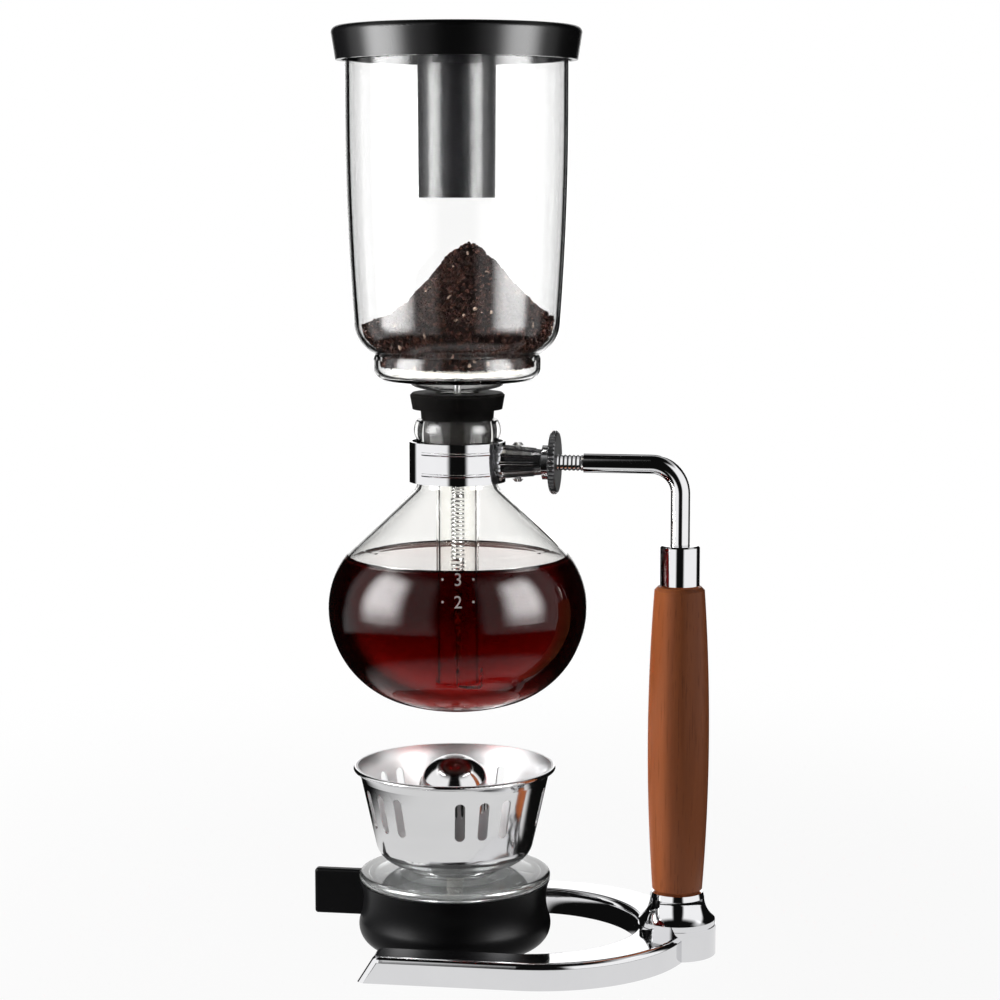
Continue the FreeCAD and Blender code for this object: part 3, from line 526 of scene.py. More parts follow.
def studio_round(tree, place, camera_turn):
    """Light of the walls at a place or direction, and how open the right flag leaves it."""
    seen = {"Vector": place, "Angle": -camera_turn}
    x, y, z = tree.parts(tree.add("ShaderNodeVectorRotate", seen, {"rotation_type": "Z_AXIS"}))
    turn = x.step("ARCTAN2", x.step("ABSOLUTE", x), 0.0 - y)
    left, right = (tree.span(turn, *flag[:2]) - tree.span(turn, *flag[2:])
                   for flag in (LEFT_FLAG, RIGHT_FLAG))
    on_right = x.step("GREATER_THAN", x, 0.0)
    free = 1.0 - (left + (right - left) * on_right)
    behind = tree.span(turn, *WALL_BEHIND)
    white = SIDE_WHITE + (BACK_WHITE - SIDE_WHITE) * behind
    low, high = (side + (back - side) * behind for side, back in zip(SIDE_CEILING, BACK_CEILING))
    walls = tree.span(turn, *DARK_FRONT) * free * white * tree.span(z, low, high, 1.0, 0.0)
    panel = tree.span(z, *PANEL[:2]) - tree.span(z, *PANEL[2:])
    walls = walls + PANEL_WHITE * tree.span(turn, *PANEL_FROM) * panel
    return walls, 1.0 - right * on_right


class SIPHON_OT_stage(bpy.types.Operator):
    """Set the camera, the softboxes, the floor and the studio round them"""

    bl_idname = "siphon.stage"
    bl_label = "Stage"

    def execute(self, context):
        scene, chosen = context.scene, settings("stage")
        scene.view_settings.view_transform = "Standard"
        self.place_camera(scene, chosen)
        self.light_world(scene, chosen)
        self.lay_floor(chosen)
        lights = (chosen.left_light, chosen.right_light)
        for turn, power, shadow in zip(SOFTBOX_TURNS, lights, (False, True)):
            box = self.hang_softbox("softbox", chosen.turn + turn, SOFTBOX, power)
            box.data.use_shadow = shadow
            box.visible_glossy = box.visible_transmission = False
        for names, size, powers in ((GLOSSY, SHINE, (chosen.left_shine, chosen.right_shine)),
                                    (SPUN, SOFTBOX, (chosen.steel_shine, chosen.steel_shine))):
            pieces = bpy.data.collections.new("shine")
            for name in names:
                pieces.objects.link(NODES[name])
            for turn, power in zip(SHINE_TURNS, powers):
                box = self.hang_softbox("shine", chosen.turn + turn, size, power)
                box.visible_diffuse = False
                box.light_linking.receiver_collection = pieces
        return {"FINISHED"}

    def place_camera(self, scene, chosen):
        lens = bpy.data.cameras.new("camera")
        lens.lens, lens.sensor_width = chosen.lens, SENSOR_MM
        eye = new_object("camera", lens)
        turn = Matrix.Rotation(chosen.turn, 4, "Z")
        tilt = Matrix.Rotation(pi / 2 - chosen.tilt, 4, "X")
        eye.matrix_world = Matrix.Translation(chosen.eye) @ turn @ tilt
        scene.camera = eye

    def light_world(self, scene, chosen):
        """White to the eye and through glass, with white walls and dark flags in reflections."""
        world = bpy.data.worlds.new("studio")
        world.use_nodes = True
        scene.world = world
        tree = Tree(world.node_tree)
        tree.nodes.clear()
        walls, _ = studio_round(tree, tree.add("ShaderNodeTexCoord", out="Generated"), chosen.turn)
        shown = chosen.fill + (1.0 - chosen.fill) * seen_by_eye(tree)
        strength = shown + reflected(tree) * (STUDIO_DARK + walls - shown)
        white = tree.add("ShaderNodeBackground", {"Color": WHITE, "Strength": strength})
        tree.add("ShaderNodeOutputWorld", {"Surface": white})

    def lay_floor(self, chosen):
        rows = [ring(r, 0, 0, FLOOR_STEPS) for r in (0, *FLOOR_RINGS)]
        floor = new_object("floor", skin("floor", rows))
        look = Finish("pale_table")
        reach, _, _ = look.around(0.0)
        walls, free = studio_round(look, look.place, chosen.turn)
        sheet = look.span(reach, *SHEET_END, first=SHEET_WHITE, last=0.0) * free
        studio = sheet + look.span(reach, *DARK_END) * walls
        bounced = reflected(look)
        table = look.add("ShaderNodeBsdfDiffuse", {"Color": (*chosen.floor, 1.0)})
        strength = 1.0 + bounced * (STUDIO_DARK + studio - 1.0)
        glow = look.add("ShaderNodeEmission", {"Color": WHITE, "Strength": strength})
        lit = look.span(reach, *FLOOR_FADE, first=FLOOR_GLOW, last=1.0)
        shown = lit.step("MAXIMUM", lit, bounced) * seen_by_eye(look)
        surface = look.add("ShaderNodeMixShader", {0: shown, 1: table, 2: glow})
        floor.data.materials.append(look.done(surface))

    def hang_softbox(self, name, turn, size, power):
        """Softbox that is brightest in the middle and fades to its edges."""
        reach, middle, width, height = size
        lamp = bpy.data.lights.new(name, "AREA")
        lamp.shape, lamp.energy = "RECTANGLE", power
        lamp.size, lamp.size_y = width, height
        lamp.use_nodes = True
        tree = Tree(lamp.node_tree)
        tree.nodes.clear()
        across, along, _ = tree.parts(tree.add("ShaderNodeNewGeometry", out="Parametric"))
        fade = 1.0
        for share in (across, along):
            off = share.step("ABSOLUTE", share - 0.5)
            fade = tree.span(off, *SOFTBOX_FADE, 1.0, 0.0) * fade
        glow = tree.add("ShaderNodeEmission", {"Color": WHITE, "Strength": fade})
        tree.add("ShaderNodeOutputLight", {"Surface": glow})
        box = new_object(name, lamp)
        spot = Vector((reach * sin(turn), -reach * cos(turn), middle))
        aim = Vector((0.0, 0.0, middle)) - spot
        facing = aim.to_track_quat("-Z", "Y").to_matrix().to_4x4()
        box.matrix_world = Matrix.Translation(spot) @ facing
        box.visible_camera = False
        return box


# Metal

# Where the band's collet starts, from the flask's axis, and how soon it turns rougher and takes a
# painted dark reflection
COLLET_FROM, COLLET_BLEND = 17.2 * MM, 1.5 * MM
# Reach between which the painted shade at the roots of the wheel's teeth gives way to their bright
# tips
TEETH = (10.6 * MM, 11.4 * MM)
# Depth of the finest marks
FINE = 0.1 * MM
METAL = {"Metallic": 1.0}


def chrome(name, painted_dark_from=None):
    """Bright plating, rougher past a place along X and painted dark there for the dark it reflects."""
    look = Finish(name)
    smear = look.noise(45.0, 4.0, 0.6)
    grain = look.noise(1500.0)
    colour = look.mix(smear, (0.80, 0.80, 0.81), (0.72, 0.72, 0.735))
    rough = 0.03 + 0.06 * look.span(smear, 0.48, 0.72) + 0.015 * grain
    if painted_dark_from:
        along, _, _ = look.parts(look.place)
        # Painted reflection: past this place the colour is darkened for the dark the collet reflects,
        # and the finish is rougher
        dull_and_painted_dark = look.span(along, painted_dark_from, painted_dark_from + COLLET_BLEND)
        colour = look.mix(dull_and_painted_dark, colour, look.mix(smear, (0.15, 0.15, 0.155), (0.28, 0.28, 0.285)))
        rough = rough + 0.20 * dull_and_painted_dark
    return look.done(look.shader(colour, rough, (grain, 0.03, FINE), METAL))


def spun_steel():
    """Sheet with fine lines round the burner's axis, polished outside and satin inside, where painted
    light makes it paler.
    """
    look = Finish("spun_steel")
    reach, turn, z = look.around(BURNER_X)
    line = look.noise(1.0, 3.0, 0.6, place=look.joined(reach * 900.0, turn * 1.2, z * 900.0))
    broad = look.noise(1.0, place=look.joined(reach * 90.0, turn * 0.8, z * 90.0))
    smear = look.noise(70.0, 3.0, 0.6)
    normal = look.add("ShaderNodeNewGeometry", out="Normal")
    ways = {0: normal, 1: look.mapped((BURNER_X, 0, 0), (1, 1, 0))}
    away = look.add("ShaderNodeVectorMath", ways, {"operation": "DOT_PRODUCT"}, out="Value")
    inside = look.span(away, 0.0, 2.0 * MM, 1.0, 0.0)
    outside = look.mix(broad, (0.66, 0.66, 0.665), (0.76, 0.76, 0.765))
    # Painted light: the inside is paler than the outside, for the light inside the bowl
    colour = look.mix(inside, outside, (0.85, 0.85, 0.855))
    rough = 0.06 + 0.32 * inside + 0.06 * line + 0.05 * look.span(smear, 0.45, 0.75)
    return look.done(look.shader(colour, rough, (line, 0.05, FINE), METAL))


def plain_steel():
    look = Finish("plain_steel")
    stain = look.noise(160.0, 4.0, 0.6)
    grain = look.noise(2600.0)
    colour = look.mix(stain, (0.50, 0.50, 0.505), (0.70, 0.70, 0.70))
    return look.done(look.shader(colour, 0.20 + 0.16 * stain, (grain, 0.08, FINE), METAL))


def knurled_steel():
    """Plated wheel, rougher and painted dark at the roots of its teeth, where shade falls."""
    look = Finish("knurled_steel")
    low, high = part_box("clamp_nut")
    _, y, z = look.parts(look.mapped((0, 0, (low[2] + high[2]) / 2)))
    rim = look.span((y * y + z * z) ** 0.5, *TEETH)
    stain = look.noise(300.0, 4.0, 0.6)
    # Painted shade: dark in the roots of the teeth and inward of them, mottled with real stains
    shaded_root = look.mix(stain, (0.05, 0.05, 0.052), (0.11, 0.11, 0.113))
    colour = look.mix(rim, shaded_root, (0.30, 0.30, 0.305))
    rough = 0.30 - 0.10 * rim + 0.12 * stain
    return look.done(look.shader(colour, rough, (stain, 0.06, FINE), METAL))


class SIPHON_OT_metalwork(bpy.types.Operator):
    """Finish the plated stand and clamp, the spun windscreen and cap, and the plain steel pieces"""

    bl_idname = "siphon.metalwork"
    bl_label = "Metalwork"

    def execute(self, context):
        paint(chrome("chrome_plate"), "base", "handle_foot", "ferrule", "arm_rod", "clamp_washer")
        paint(chrome("band_plate", FLASK_X + COLLET_FROM), "clamp_band")
        paint(spun_steel(), "windscreen", "snuffer_cap", "wick_collar")
        paint(plain_steel(), "foot_washer", "foot_nut", "clamp_rivet", "filter_plate", "filter_stem",
              "bead_chain", "chain_hook")
        paint(knurled_steel(), "clamp_nut")
        return {"FINISHED"}


# Wood

class SIPHON_OT_grip(bpy.types.Operator):
    """Finish the wooden grip with upright grain under satin varnish"""

    bl_idname = "siphon.grip"
    bl_label = "Grip"

    def execute(self, context):
        chosen = settings("wood")
        look = Finish("satin_wood")
        along = look.mapped((GRIP_X, 0, 0), (1, 1, 0.055))
        band = look.span(look.noise(95.0, 3.0, 0.55, 0.6, along), 0.32, 0.68)
        streak = look.noise(520.0, 5.0, 0.65, place=along)
        fine = look.mapped((GRIP_X, 0, 0), (1, 1, 0.035))
        pore = look.span(look.noise(1500.0, place=fine), 0.58, 0.70)
        colour = look.mix(0.55 * band + 0.45 * streak, chosen.dark, chosen.light)
        colour = look.mix(0.35 * pore, colour, shade(chosen.dark, 0.45))
        rough, marks = 0.36 + 0.14 * streak + 0.12 * pore, (streak - 0.8 * pore, 0.22, 0.2 * MM)
        varnish = {"Coat Weight": 0.06, "Coat Roughness": 0.25, "Specular IOR Level": 0.3}
        paint(look.done(look.shader(colour, rough, marks, varnish)), "wood_handle")
        return {"FINISHED"}


# Plastic and rubber

LID_TUBE_TOP_Z = 322.0 * MM
POLISH, POLISH_ROUGH, POLISH_BLEND = 0.26, 0.16, 1.0 * MM


def moulded(name, colour, sheen, rough, shine, scale, depth, polished_below=None):
    """Moulded black with a fine grain and faint handling marks, polished below a height."""
    look = Finish(name)
    handled = look.noise(55.0, 4.0, 0.6)
    grain = look.noise(scale, 3.0, 0.6)
    tone = look.mix(handled, colour, sheen)
    gloss = {"Specular IOR Level": shine}
    if polished_below:
        _, _, z = look.parts(look.place)
        gloss["Coat Weight"] = look.span(z, polished_below - POLISH_BLEND, polished_below, POLISH, 0.0)
        gloss["Coat Roughness"] = POLISH_ROUGH
    rough = rough + 0.03 * handled + 0.05 * grain
    return look.done(look.shader(tone, rough, (grain, depth, FINE), gloss))


class SIPHON_OT_mouldings(bpy.types.Operator):
    """Finish the lid, the burner's cup, the stopper and the clamp's liner"""

    bl_idname = "siphon.mouldings"
    bl_label = "Mouldings"

    def execute(self, context):
        paint(moulded("lid_black", (0.0035, 0.0035, 0.004), (0.006, 0.006, 0.0065),
                      rough=0.20, shine=0.154, scale=1400.0, depth=0.05,
                      polished_below=LID_TUBE_TOP_Z), "lid")
        paint(moulded("burner_black", (0.0040, 0.0040, 0.0045), (0.006, 0.006, 0.0065),
                      rough=0.28, shine=0.05, scale=1900.0, depth=0.16), "burner_body")
        paint(moulded("rubber_black", (0.004, 0.0035, 0.0035), (0.007, 0.0065, 0.006),
                      rough=0.50, shine=0.06, scale=1200.0, depth=0.20), "stopper", "clamp_liner")
        return {"FINISHED"}


# Glass

GLASS_SHADOW = (0.93, 0.93, 0.93)
# Depth of the waves in glass and on the coffee
WAVE = 0.6 * MM
# The chamber's painted dark edge shows above this height only, so that its basin stays pale
CHAMBER_EDGE_Z, EDGE_BLEND = 228.0 * MM, 8.0 * MM


def clear_glass(name, tint, ior, edge_from, edge_above=0.0, through=1.0):
    """Glass with a painted dark edge where it is seen edge on, and which lets the lamps through."""
    chosen = settings("glass")
    look = Finish(name)
    _, _, z = look.parts(look.place)
    # Painted shade: the colour darkens where the glass is seen edge on
    rim = look.span(look.facing(), edge_from, 1.0) * look.span(z, edge_above, edge_above + EDGE_BLEND)
    colour = look.mix(rim * rim, tint, chosen.edge)
    wave = look.noise(42.0)
    glass = look.shader(colour, 0.0, (wave, 0.03, WAVE), {"IOR": ior, "Transmission Weight": through})
    return look.done(look.clear(glass, GLASS_SHADOW))


class SIPHON_OT_glassware(bpy.types.Operator):
    """Finish the flask, the upper chamber with its siphon tube, and the fuel glass"""

    bl_idname = "siphon.glassware"
    bl_label = "Glassware"

    def execute(self, context):
        chosen = settings("glass")
        paint(clear_glass("flask_glass", chosen.flask, chosen.flask_ior, edge_from=0.78), "flask")
        paint(clear_glass("chamber_glass", chosen.chamber, chosen.chamber_ior, edge_from=0.86,
                          edge_above=CHAMBER_EDGE_Z), "upper_chamber")
        paint(clear_glass("tube_glass", chosen.tube, chosen.tube_ior, edge_from=0.985), "siphon_tube")
        paint(clear_glass("fuel_glass", chosen.fuel, chosen.fuel_ior, edge_from=0.80, through=0.95),
              "fuel_glass")
        return {"FINISHED"}


# Coffee

BULB_MIDDLE_Z = 126.0 * MM
COFFEE_STEPS, SIDE_STEPS, FACE_STEPS = 144, 241, 26
MENISCUS_REACH = 1.3 * MM
# Heights between which a painted glow of light low in the bulb is lost, and the tints below and above
COFFEE_PAINTED_GLOW, PAINTED_GLOW_TINT, DEEP_TINT = (97.0 * MM, 116.0 * MM), (1.0, 0.97, 0.96), (0.13, 0.11, 0.105)
# Heights between which the painted shade at the very bottom ends, and its tint
COFFEE_BOTTOM_SHADE, BOTTOM_SHADE_TINT = (82.0 * MM, 90.0 * MM), (0.14, 0.11, 0.10)
# How far edge on its side is painted black, the heights between which that painted shade starts, and
# the tint
COFFEE_EDGE, COFFEE_FOOT, PAINTED_EDGE_TINT = (0.205, 0.300), (90.0 * MM, 102.0 * MM), (0.012, 0.006, 0.005)
# Depths between which its side gives way to its surface, and shares of the meniscus that are painted
# dark
COFFEE_FACE, COFFEE_CLIMB = (0.05 * MM, 0.02 * MM), (0.12, 0.45)
# Tints of the surface, paler for painted light, and of the meniscus, dark for painted shade, and of
# the light that gets through
PAINTED_FACE_TINT, PAINTED_CLIMB_TINT, COFFEE_SHADOW = (0.36, 0.31, 0.27), (0.03, 0.02, 0.018), (0.10, 0.015, 0.01)


class SIPHON_OT_coffee(bpy.types.Operator):
    """Fill the flask with brewed coffee up to its level"""

    bl_idname = "siphon.coffee"
    bl_label = "Coffee"

    def execute(self, context):
        chosen = settings("coffee")
        places = wall_points("flask", BULB_MIDDLE_Z, inside=True)
        side = sorted((atan2(r, BULB_MIDDLE_Z - z), hypot(r, BULB_MIDDLE_Z - z))
                      for r, z in places)
        turns, reaches = np.array(side).T
        profile = []
        for turn in np.linspace(0.0, pi, SIDE_STEPS):
            reach = float(np.interp(turn, turns, reaches)) + chosen.overlap
            r, z = reach * sin(turn), BULB_MIDDLE_Z - reach * cos(turn)
            if z > chosen.level + chosen.rise:
                break
            profile.append((r if turn > 0 else 0.0, z))
        edge = profile[-1][0]
        for share in np.linspace(0.0, 1.0, FACE_STEPS)[1:]:
            r = edge * (1.0 - share ** 2) if share < 1.0 else 0.0
            profile.append((r, chosen.level + chosen.rise * exp(-(edge - r) / MENISCUS_REACH)))
        mesh = skin("coffee", [ring(r, z, FLASK_X, COFFEE_STEPS) for r, z in profile])
        smooth(mesh)
        settle(new_object("coffee", mesh), "flask", self.liquid(chosen))
        return {"FINISHED"}

    def liquid(self, chosen):
        look = Finish("brewed_coffee")
        _, _, z = look.parts(look.place)
        # Painted shade: the side turns black where it is seen edge on, above the foot
        rim = look.span(look.facing(), *COFFEE_EDGE) * look.span(z, *COFFEE_FOOT)
        # Painted light: the coffee lets more through low in the bulb, fading to a darker tint above
        deep = look.mix(look.span(z, *COFFEE_PAINTED_GLOW), PAINTED_GLOW_TINT, DEEP_TINT)
        # Painted shade at the very bottom of the bulb
        colour = look.mix(rim, look.mix(look.span(z, *COFFEE_BOTTOM_SHADE), BOTTOM_SHADE_TINT, deep), PAINTED_EDGE_TINT)
        face = look.span(z, *(chosen.level - below for below in COFFEE_FACE))
        climb = look.span(z, *(chosen.level + share * chosen.rise for share in COFFEE_CLIMB))
        # Painted light on the surface, and painted shade on the meniscus
        top = look.mix(climb, PAINTED_FACE_TINT, PAINTED_CLIMB_TINT)
        wave = look.noise(30.0)
        body = look.shader(look.mix(face, colour, top), 0.0, (wave, 0.02, WAVE), {
            "IOR": 1.03, "Transmission Weight": 1.0, "Coat Weight": face, "Coat Roughness": 0.0,
            "Coat IOR": 2.0})
        tint = {"Color": (*chosen.colour, 1.0), "Density": chosen.density}
        return look.done(look.clear(body, COFFEE_SHADOW), look.add("ShaderNodeVolumeAbsorption", tint))


# Ground coffee

HEAP_STEPS, HEAP_RINGS, HEAP_WALL_RINGS = 132, 44, 16
# Fall of the heap below its peak against the distance from it, in millimetres
HEAP_SLOPE = ((0.0, 0.0), (1.5, 0.5), (4.0, 2.4), (8.5, 6.4), (15.6, 14.6), (23.7, 23.2), (29.0, 26.6),
              (34.0, 28.2), (38.0, 30.2), (43.0, 32.4), (60.0, 36.0))
# Height of its lumps, and for broad and fine ones: the level they are cut at, their scale and share
LUMP, LUMPS = 1.2 * MM, ((0.3, 160.0, 1.0), (0.9, 420.0, 0.6))
# The heap's edge is sought from this reach, halving the error in each round
EDGE_FROM, EDGE_ROUNDS = 36.0 * MM, 20
CHAMBER_MIDDLE_Z = 275.0 * MM
# Name of the grains' own tone, their scales and their turns
ROAST = "roast"
GRAIN_LEAST, GRAIN_MOST = (0.55, 0.45, 0.4), (1.35, 1.1, 0.95)
NO_TURN, FULL_TURN = (0.0, 0.0, 0.0), (6.28, 6.28, 6.28)
# Share of the grains from which they are pale chaff, and its colour
CHAFF_FROM, CHAFF = (0.982, 0.994), (0.24, 0.18, 0.14)


class SIPHON_OT_grounds(bpy.types.Operator):
    """Heap ground coffee in the upper chamber and strew it with grains"""

    bl_idname = "siphon.grounds"
    bl_label = "Ground coffee"

    def execute(self, context):
        chosen = settings("grounds")
        recipe = Recipe("grounds", {
            "Grain": ("Float", chosen.grain), "Density": ("Float", chosen.density / MM ** 2),
            "Seed": ("Int", chosen.seed), "Finish": ("Material", self.roast(chosen))})
        seed = recipe["Seed"]
        spots = recipe.add("GeometryNodeDistributePointsOnFaces", {
            "Mesh": recipe["Geometry"], "Density": recipe["Density"], "Seed": seed})
        grain = recipe.add("GeometryNodeMeshIcoSphere", {"Radius": recipe["Grain"], "Subdivisions": 1})
        grains = recipe.add("GeometryNodeInstanceOnPoints", {
            "Points": spots, "Instance": grain,
            "Rotation": recipe.random(NO_TURN, FULL_TURN, seed + 1),
            "Scale": recipe.random(GRAIN_LEAST, GRAIN_MOST, seed + 2)})
        tones = {"Geometry": grains, "Name": ROAST, "Value": recipe.random(0.0, 1.0, seed + 3)}
        toned = recipe.add("GeometryNodeStoreNamedAttribute", tones,
                           {"data_type": "FLOAT", "domain": "INSTANCE"})
        both = recipe.join(toned, recipe["Geometry"])
        settle(recipe.bake(both, self.heap(chosen)), "upper")
        return {"FINISHED"}

    def heap(self, chosen):
        """Closed heap: its slope, its side along the glass and its flat underside."""
        places = wall_points("upper_chamber", CHAMBER_MIDDLE_Z, inside=True)
        heights, radii = np.array(sorted((z, r) for r, z in places)).T
        fall_at, fall = np.array(HEAP_SLOPE).T * MM

        def glass(z):
            return float(np.interp(z, heights, radii)) - chosen.gap

        def top(x, y):
            away = hypot(x - chosen.peak_x, y)
            lump = sum(part * noise.noise(Vector((x, y, cut)) * scale) for cut, scale, part in LUMPS)
            return chosen.peak - float(np.interp(away, fall_at, fall)) + LUMP * lump

        turns = turns_round(HEAP_STEPS)
        reach = []
        for turn in turns:
            r = EDGE_FROM
            for _ in range(EDGE_ROUNDS):
                r = 0.5 * r + 0.5 * glass(top(r * cos(turn), r * sin(turn)))
            reach.append(r)
        rows = [[(FLASK_X, 0.0, top(0.0, 0.0))]]
        for k in range(1, HEAP_RINGS + 1):
            share = k / HEAP_RINGS
            row = []
            for turn, limit in zip(turns, reach):
                x, y = share * limit * cos(turn), share * limit * sin(turn)
                row.append((FLASK_X + x, y, top(x, y)))
            rows.append(row)
        for k in range(1, HEAP_WALL_RINGS + 1):
            row = []
            for turn, (_, _, edge) in zip(turns, rows[HEAP_RINGS]):
                z = edge + (chosen.floor - edge) * k / HEAP_WALL_RINGS
                row.append(beside(FLASK_X, glass(z), turn, z))
            rows.append(row)
        rows.append([(FLASK_X, 0.0, chosen.floor)])
        return skin("heap", rows)

    def roast(self, chosen):
        look = Finish("ground_coffee")
        tone = look.add("ShaderNodeAttribute", None, {"attribute_name": ROAST}, out="Fac")
        speck = look.noise(900.0, 3.0, 0.6)
        warmth = (0.25 + 0.75 * tone) * tone * (0.4 + 1.2 * speck)
        warm = look.mix(warmth, chosen.dark, chosen.light)
        colour = look.mix(look.span(tone, *CHAFF_FROM), warm, CHAFF)
        return look.done(look.shader(colour, 0.25 + 0.5 * speck, (speck, 0.4, 0.3 * MM),
                                     {"Specular IOR Level": 0.05}))


# Filter

# Steps of the cloth round its middle, and over its top, round the plate's edge and back in under it
CLOTH_STEPS, TOP_STEPS, RIM_STEPS, HEM_STEPS = 176, 16, 9, 10
CLOTH_HOLE_R = 4.7 * MM
CLOTH_TOP_Z, CLOTH_LOW_Z = 213.35 * MM, 211.0 * MM
CLOTH_EDGE_R, CLOTH_HEM_R = 22.55 * MM, 14.4 * MM
GATHER, SOFTNESS, SOFT_SCALE = 0.16 * MM, 0.10 * MM, 240.0
THREADS = 6000.0
SPRING_LOW_Z, SPRING_TOP_Z = (corner[2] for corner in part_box("filter_spring"))
SPRING_STEPS, WIRE_SIDES = 20, 8


class SIPHON_OT_filter_cloth(bpy.types.Operator):
    """Draw the filter cloth over its plate and gather it in under the edge"""

    bl_idname = "siphon.filter_cloth"
    bl_label = "Filter cloth"

    def execute(self, context):
        chosen = settings("filter")
        middle_z, bulge = (CLOTH_TOP_Z + CLOTH_LOW_Z) / 2, (CLOTH_TOP_Z - CLOTH_LOW_Z) / 2
        path = [(r, CLOTH_TOP_Z, 0.0) for r in np.linspace(CLOTH_HOLE_R, CLOTH_EDGE_R, TOP_STEPS)]
        for turn in np.linspace(pi / 2, -pi / 2, RIM_STEPS)[1:-1]:
            path.append((CLOTH_EDGE_R + bulge * cos(turn), middle_z + bulge * sin(turn),
                         0.5 - 0.5 * sin(turn)))
        path += [(r, CLOTH_LOW_Z, 1.0) for r in np.linspace(CLOTH_EDGE_R, CLOTH_HEM_R, HEM_STEPS)]
        rows = []
        for r, z, pull in path:
            row = []
            for turn in turns_round(CLOTH_STEPS):
                fold = sin(chosen.pleats * turn + 1.3 * sin(3 * turn))
                soft = noise.noise(Vector(beside(0.0, r, turn, z)) * SOFT_SCALE)
                row.append(beside(FLASK_X, r, turn, z + GATHER * pull * fold + SOFTNESS * soft))
            rows.append(row)
        mesh = skin("filter_flannel", rows)
        smooth(mesh, 180)
        cloth = new_object("filter_flannel", mesh)
        thick = cloth.modifiers.new("thickness", "SOLIDIFY")
        thick.thickness, thick.offset = chosen.thickness, 0.0
        settle(cloth, "upper", self.flannel(chosen), ("filter_cloth",))
        return {"FINISHED"}

    def flannel(self, chosen):
        look = Finish("brushed_flannel")
        x, y, _ = look.parts(look.place)
        weave = x.step("SINE", x * THREADS) * y.step("SINE", y * THREADS)
        nap = look.noise(1600.0, 4.0, 0.7)
        stain = look.span(look.noise(130.0, 4.0, 0.6), 0.45, 0.75)
        clean = look.mix(nap, shade(chosen.cloth, 0.86), shade(chosen.cloth, 1.08))
        colour = look.mix(0.35 * stain, clean, (0.42, 0.28, 0.17))
        return look.done(look.shader(colour, 0.85 + 0.1 * nap, (0.5 * weave + nap, 0.5, 0.3 * MM),
                                     {"Sheen Weight": 0.25}))


class SIPHON_OT_spring(bpy.types.Operator):
    """Wind the filter's spring as it rests, before the chain stretches it"""

    bl_idname = "siphon.spring"
    bl_label = "Spring"

    def execute(self, context):
        chosen = settings("filter")
        recipe = Recipe("coil_spring", {
            "Coil": ("Float", chosen.coil), "Wire": ("Float", chosen.wire),
            "Turns": ("Float", chosen.turns),
            "Length": ("Float", SPRING_TOP_Z - SPRING_LOW_Z - 2 * chosen.wire),
            "Foot": ("Vector", (FLASK_X, 0.0, SPRING_LOW_Z + chosen.wire)),
            "Finish": ("Material", plain_steel())})
        coil = recipe.spiral(SPRING_STEPS, "Coil", "Turns", "Length")
        wire = recipe.sweep(coil, recipe.circle(WIRE_SIDES, "Wire"))
        spring = recipe.bake(recipe.placed(wire, "Foot"), bpy.data.meshes.new("coil_spring"))
        smooth(spring.data)
        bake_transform(spring)
        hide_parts("filter_spring")
        return {"FINISHED"}


# Wick

TWIST_STEPS, STRAND_SIDES = 40, 14
# Heights between which the wick turns dry above its fuel, and charred at its tip
WICK_DRY, WICK_CHAR = (34.0 * MM, 40.0 * MM), (45.0 * MM, 48.6 * MM)


class SIPHON_OT_wick(bpy.types.Operator):
    """Twist the cotton wick out of its strands"""

    bl_idname = "siphon.wick"
    bl_label = "Wick"

    def execute(self, context):
        chosen = settings("wick")
        low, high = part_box("wick")
        recipe = Recipe("cotton_wick", {
            "Strands": ("Int", chosen.strands), "Strand": ("Float", chosen.strand),
            "Lay": ("Float", chosen.lay), "Turns": ("Float", chosen.turns),
            "Length": ("Float", high[2] - low[2]), "Foot": ("Vector", (BURNER_X, 0.0, low[2])),
            "Finish": ("Material", self.cotton(chosen))})
        section = recipe.circle(STRAND_SIDES, "Strand")
        strand = recipe.sweep(recipe.spiral(TWIST_STEPS, "Lay", "Turns", "Length"), section)
        spots = recipe.add("GeometryNodePoints", {"Count": recipe["Strands"]})
        turn = recipe.add("GeometryNodeInputIndex") * (2 * pi) / recipe["Strands"]
        strands = recipe.add("GeometryNodeInstanceOnPoints", {
            "Points": spots, "Instance": strand,
            "Rotation": recipe.add("ShaderNodeCombineXYZ", {"Z": turn})})
        rise = recipe.add("ShaderNodeCombineXYZ", {"Z": recipe["Length"]})
        core = recipe.sweep(recipe.add("GeometryNodeCurvePrimitiveLine", {"End": rise}), section)
        both = recipe.join(strands, core)
        wick = recipe.bake(recipe.placed(both, "Foot"), bpy.data.meshes.new("cotton_wick"))
        smooth(wick.data)
        settle(wick, "burner", None, ("wick",))
        return {"FINISHED"}

    def cotton(self, chosen):
        look = Finish("twisted_cotton")
        _, turn, z = look.around(BURNER_X)
        fibre = look.noise(1.0, 4.0, 0.65, place=look.joined(turn * 9.0, z * 700.0, turn * 3.0))
        char = look.span(z, *WICK_CHAR)
        soaked = look.mix(fibre, shade(chosen.cotton, 0.13), shade(chosen.cotton, 0.22))
        dry = look.mix(fibre, shade(chosen.cotton, 0.78), chosen.cotton)
        clean = look.mix(look.span(z, *WICK_DRY), soaked, dry)
        colour = look.mix(char * (0.5 + 0.5 * fibre), clean, (0.05, 0.04, 0.035))
        return look.done(look.shader(colour, 0.85 + 0.1 * fibre, (fibre, 0.6, 0.4 * MM)))


# Level marks

DOT_R, DOT_REACH, DOT_SIDES = 0.42 * MM, 5.4 * MM, 14
# Thickness of the print, and its gap to the glass
INK, INK_GAP = 0.05 * MM, 0.03 * MM
FIGURE_DEPTH, FIGURE_STEPS = 0.02, 3
# Points of the print nearer than this are one
WELD = 0.001 * MM
# The bulb's outside is read up to this height
BULB_TOP_Z = 160.0 * MM


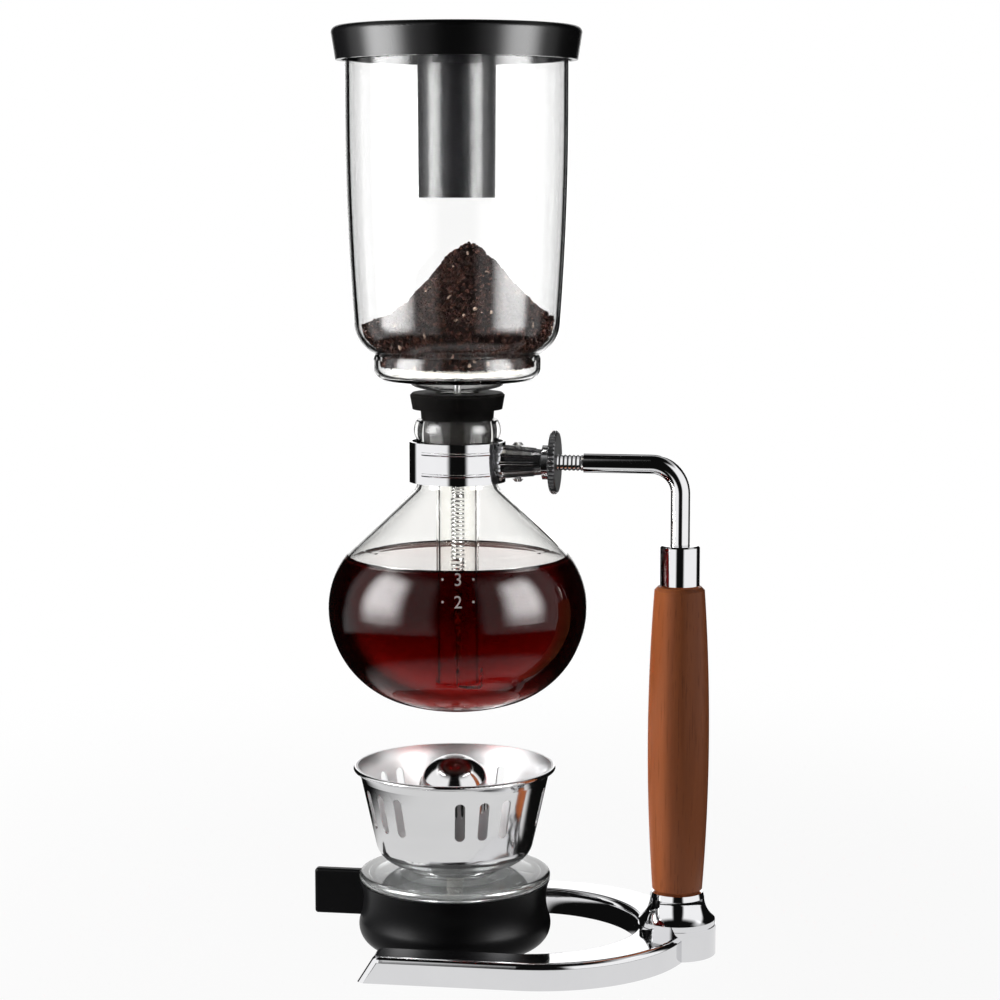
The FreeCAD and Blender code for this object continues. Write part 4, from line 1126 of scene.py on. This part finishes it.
class SIPHON_OT_level_marks(bpy.types.Operator):
    """Print plain level marks on the front of the flask: a figure with a dot on each side"""

    bl_idname = "siphon.level_marks"
    bl_label = "Level marks"

    def execute(self, context):
        chosen = settings("marks")
        places = wall_points("flask", BULB_MIDDLE_Z, inside=False)
        bulb = sorted((z, r) for r, z in places if BULB_MIDDLE_Z <= z < BULB_TOP_Z)
        heights, radii = np.array(bulb).T
        points, faces = [], []
        for figure, base_z in (("2", chosen.low), ("3", chosen.high)):
            spots, outline = self.figure(figure, chosen.height)
            start = len(points)
            points += [(x, base_z + y, depth) for x, y, depth in spots]
            faces += [[start + v for v in face] for face in outline]
            for side in (-1, 1):
                self.dot(points, faces, side * DOT_REACH, base_z + chosen.height / 2)
        spots = []
        for x, z, depth in points:
            reach = float(np.interp(z, heights, radii))
            spots.append(beside(FLASK_X, reach + (INK_GAP + depth), chosen.facing + x / reach, z))
        mesh = bpy.data.meshes.new("level_marks")
        mesh.from_pydata(spots, [], faces)
        outward(mesh, WELD)
        look = Finish("level_ink")
        worn = look.noise(1100.0, 3.0, 0.6)
        colour = look.mix(worn, shade(chosen.ink, 0.82), chosen.ink)
        ink = look.done(look.shader(colour, 0.45 + 0.2 * worn))
        settle(new_object("level_marks", mesh), "flask", ink)
        return {"FINISHED"}

    def figure(self, figure, height):
        """Points and faces of a flat figure, centred across, with a little depth."""
        curve = bpy.data.curves.new("figure", "FONT")
        curve.body, curve.align_x, curve.size = figure, "CENTER", 1.0
        curve.extrude, curve.resolution_u = FIGURE_DEPTH, FIGURE_STEPS
        writing = new_object("figure", curve)
        graph = bpy.context.evaluated_depsgraph_get()
        mesh = bpy.data.meshes.new_from_object(writing.evaluated_get(graph))
        bpy.data.objects.remove(writing)
        spots = np.array([v.co for v in mesh.vertices])
        low, high = spots.min(axis=0), spots.max(axis=0)
        scale = height / (high[1] - low[1])
        deep = INK / (high[2] - low[2])
        start = (low[0] + high[0]) / 2, low[1], low[2]
        points = (spots - start) * (scale, scale, deep)
        faces = [list(face.vertices) for face in mesh.polygons]
        bpy.data.meshes.remove(mesh)
        return points, faces

    def dot(self, points, faces, x, z):
        back, front = len(points), len(points) + DOT_SIDES
        for depth in (0.0, INK):
            for turn in turns_round(DOT_SIDES):
                points.append((x + DOT_R * cos(turn), z + DOT_R * sin(turn), depth))
        for start in (back, front):
            faces.append([start + k for k in range(DOT_SIDES)])
        for k in range(DOT_SIDES):
            j = (k + 1) % DOT_SIDES
            faces.append([back + k, back + j, front + j, front + k])


OPERATORS = (SIPHON_OT_stage, SIPHON_OT_metalwork, SIPHON_OT_grip, SIPHON_OT_mouldings,
             SIPHON_OT_glassware, SIPHON_OT_coffee, SIPHON_OT_grounds, SIPHON_OT_filter_cloth,
             SIPHON_OT_spring, SIPHON_OT_wick, SIPHON_OT_level_marks)


class SIPHON_PT_maker(bpy.types.Panel):
    """Pieces and settings of the siphon coffee maker"""

    bl_label = "Siphon coffee maker"
    bl_space_type = "VIEW_3D"
    bl_region_type = "UI"
    bl_category = "Coffee"

    def draw(self, context):
        for operator in OPERATORS:
            self.layout.operator(operator.bl_idname)
        for group, kind in SETTINGS.items():
            part = self.layout.box()
            part.label(text=kind.__doc__)
            for name in kind.__annotations__:
                part.prop(settings(group), name)


def register():
    for kind in (*SETTINGS.values(), *OPERATORS, SIPHON_PT_maker):
        bpy.utils.register_class(kind)
    for group, kind in SETTINGS.items():
        setattr(bpy.types.Scene, "siphon_" + group, PointerProperty(type=kind))


def unregister():
    for group in SETTINGS:
        delattr(bpy.types.Scene, "siphon_" + group)
    for kind in (SIPHON_PT_maker, *reversed(OPERATORS), *SETTINGS.values()):
        bpy.utils.unregister_class(kind)


def main():
    register()
    for operator in OPERATORS:
        group, name = operator.bl_idname.split(".")
        getattr(getattr(bpy.ops, group), name)()


if __name__ == "__main__":
    main()
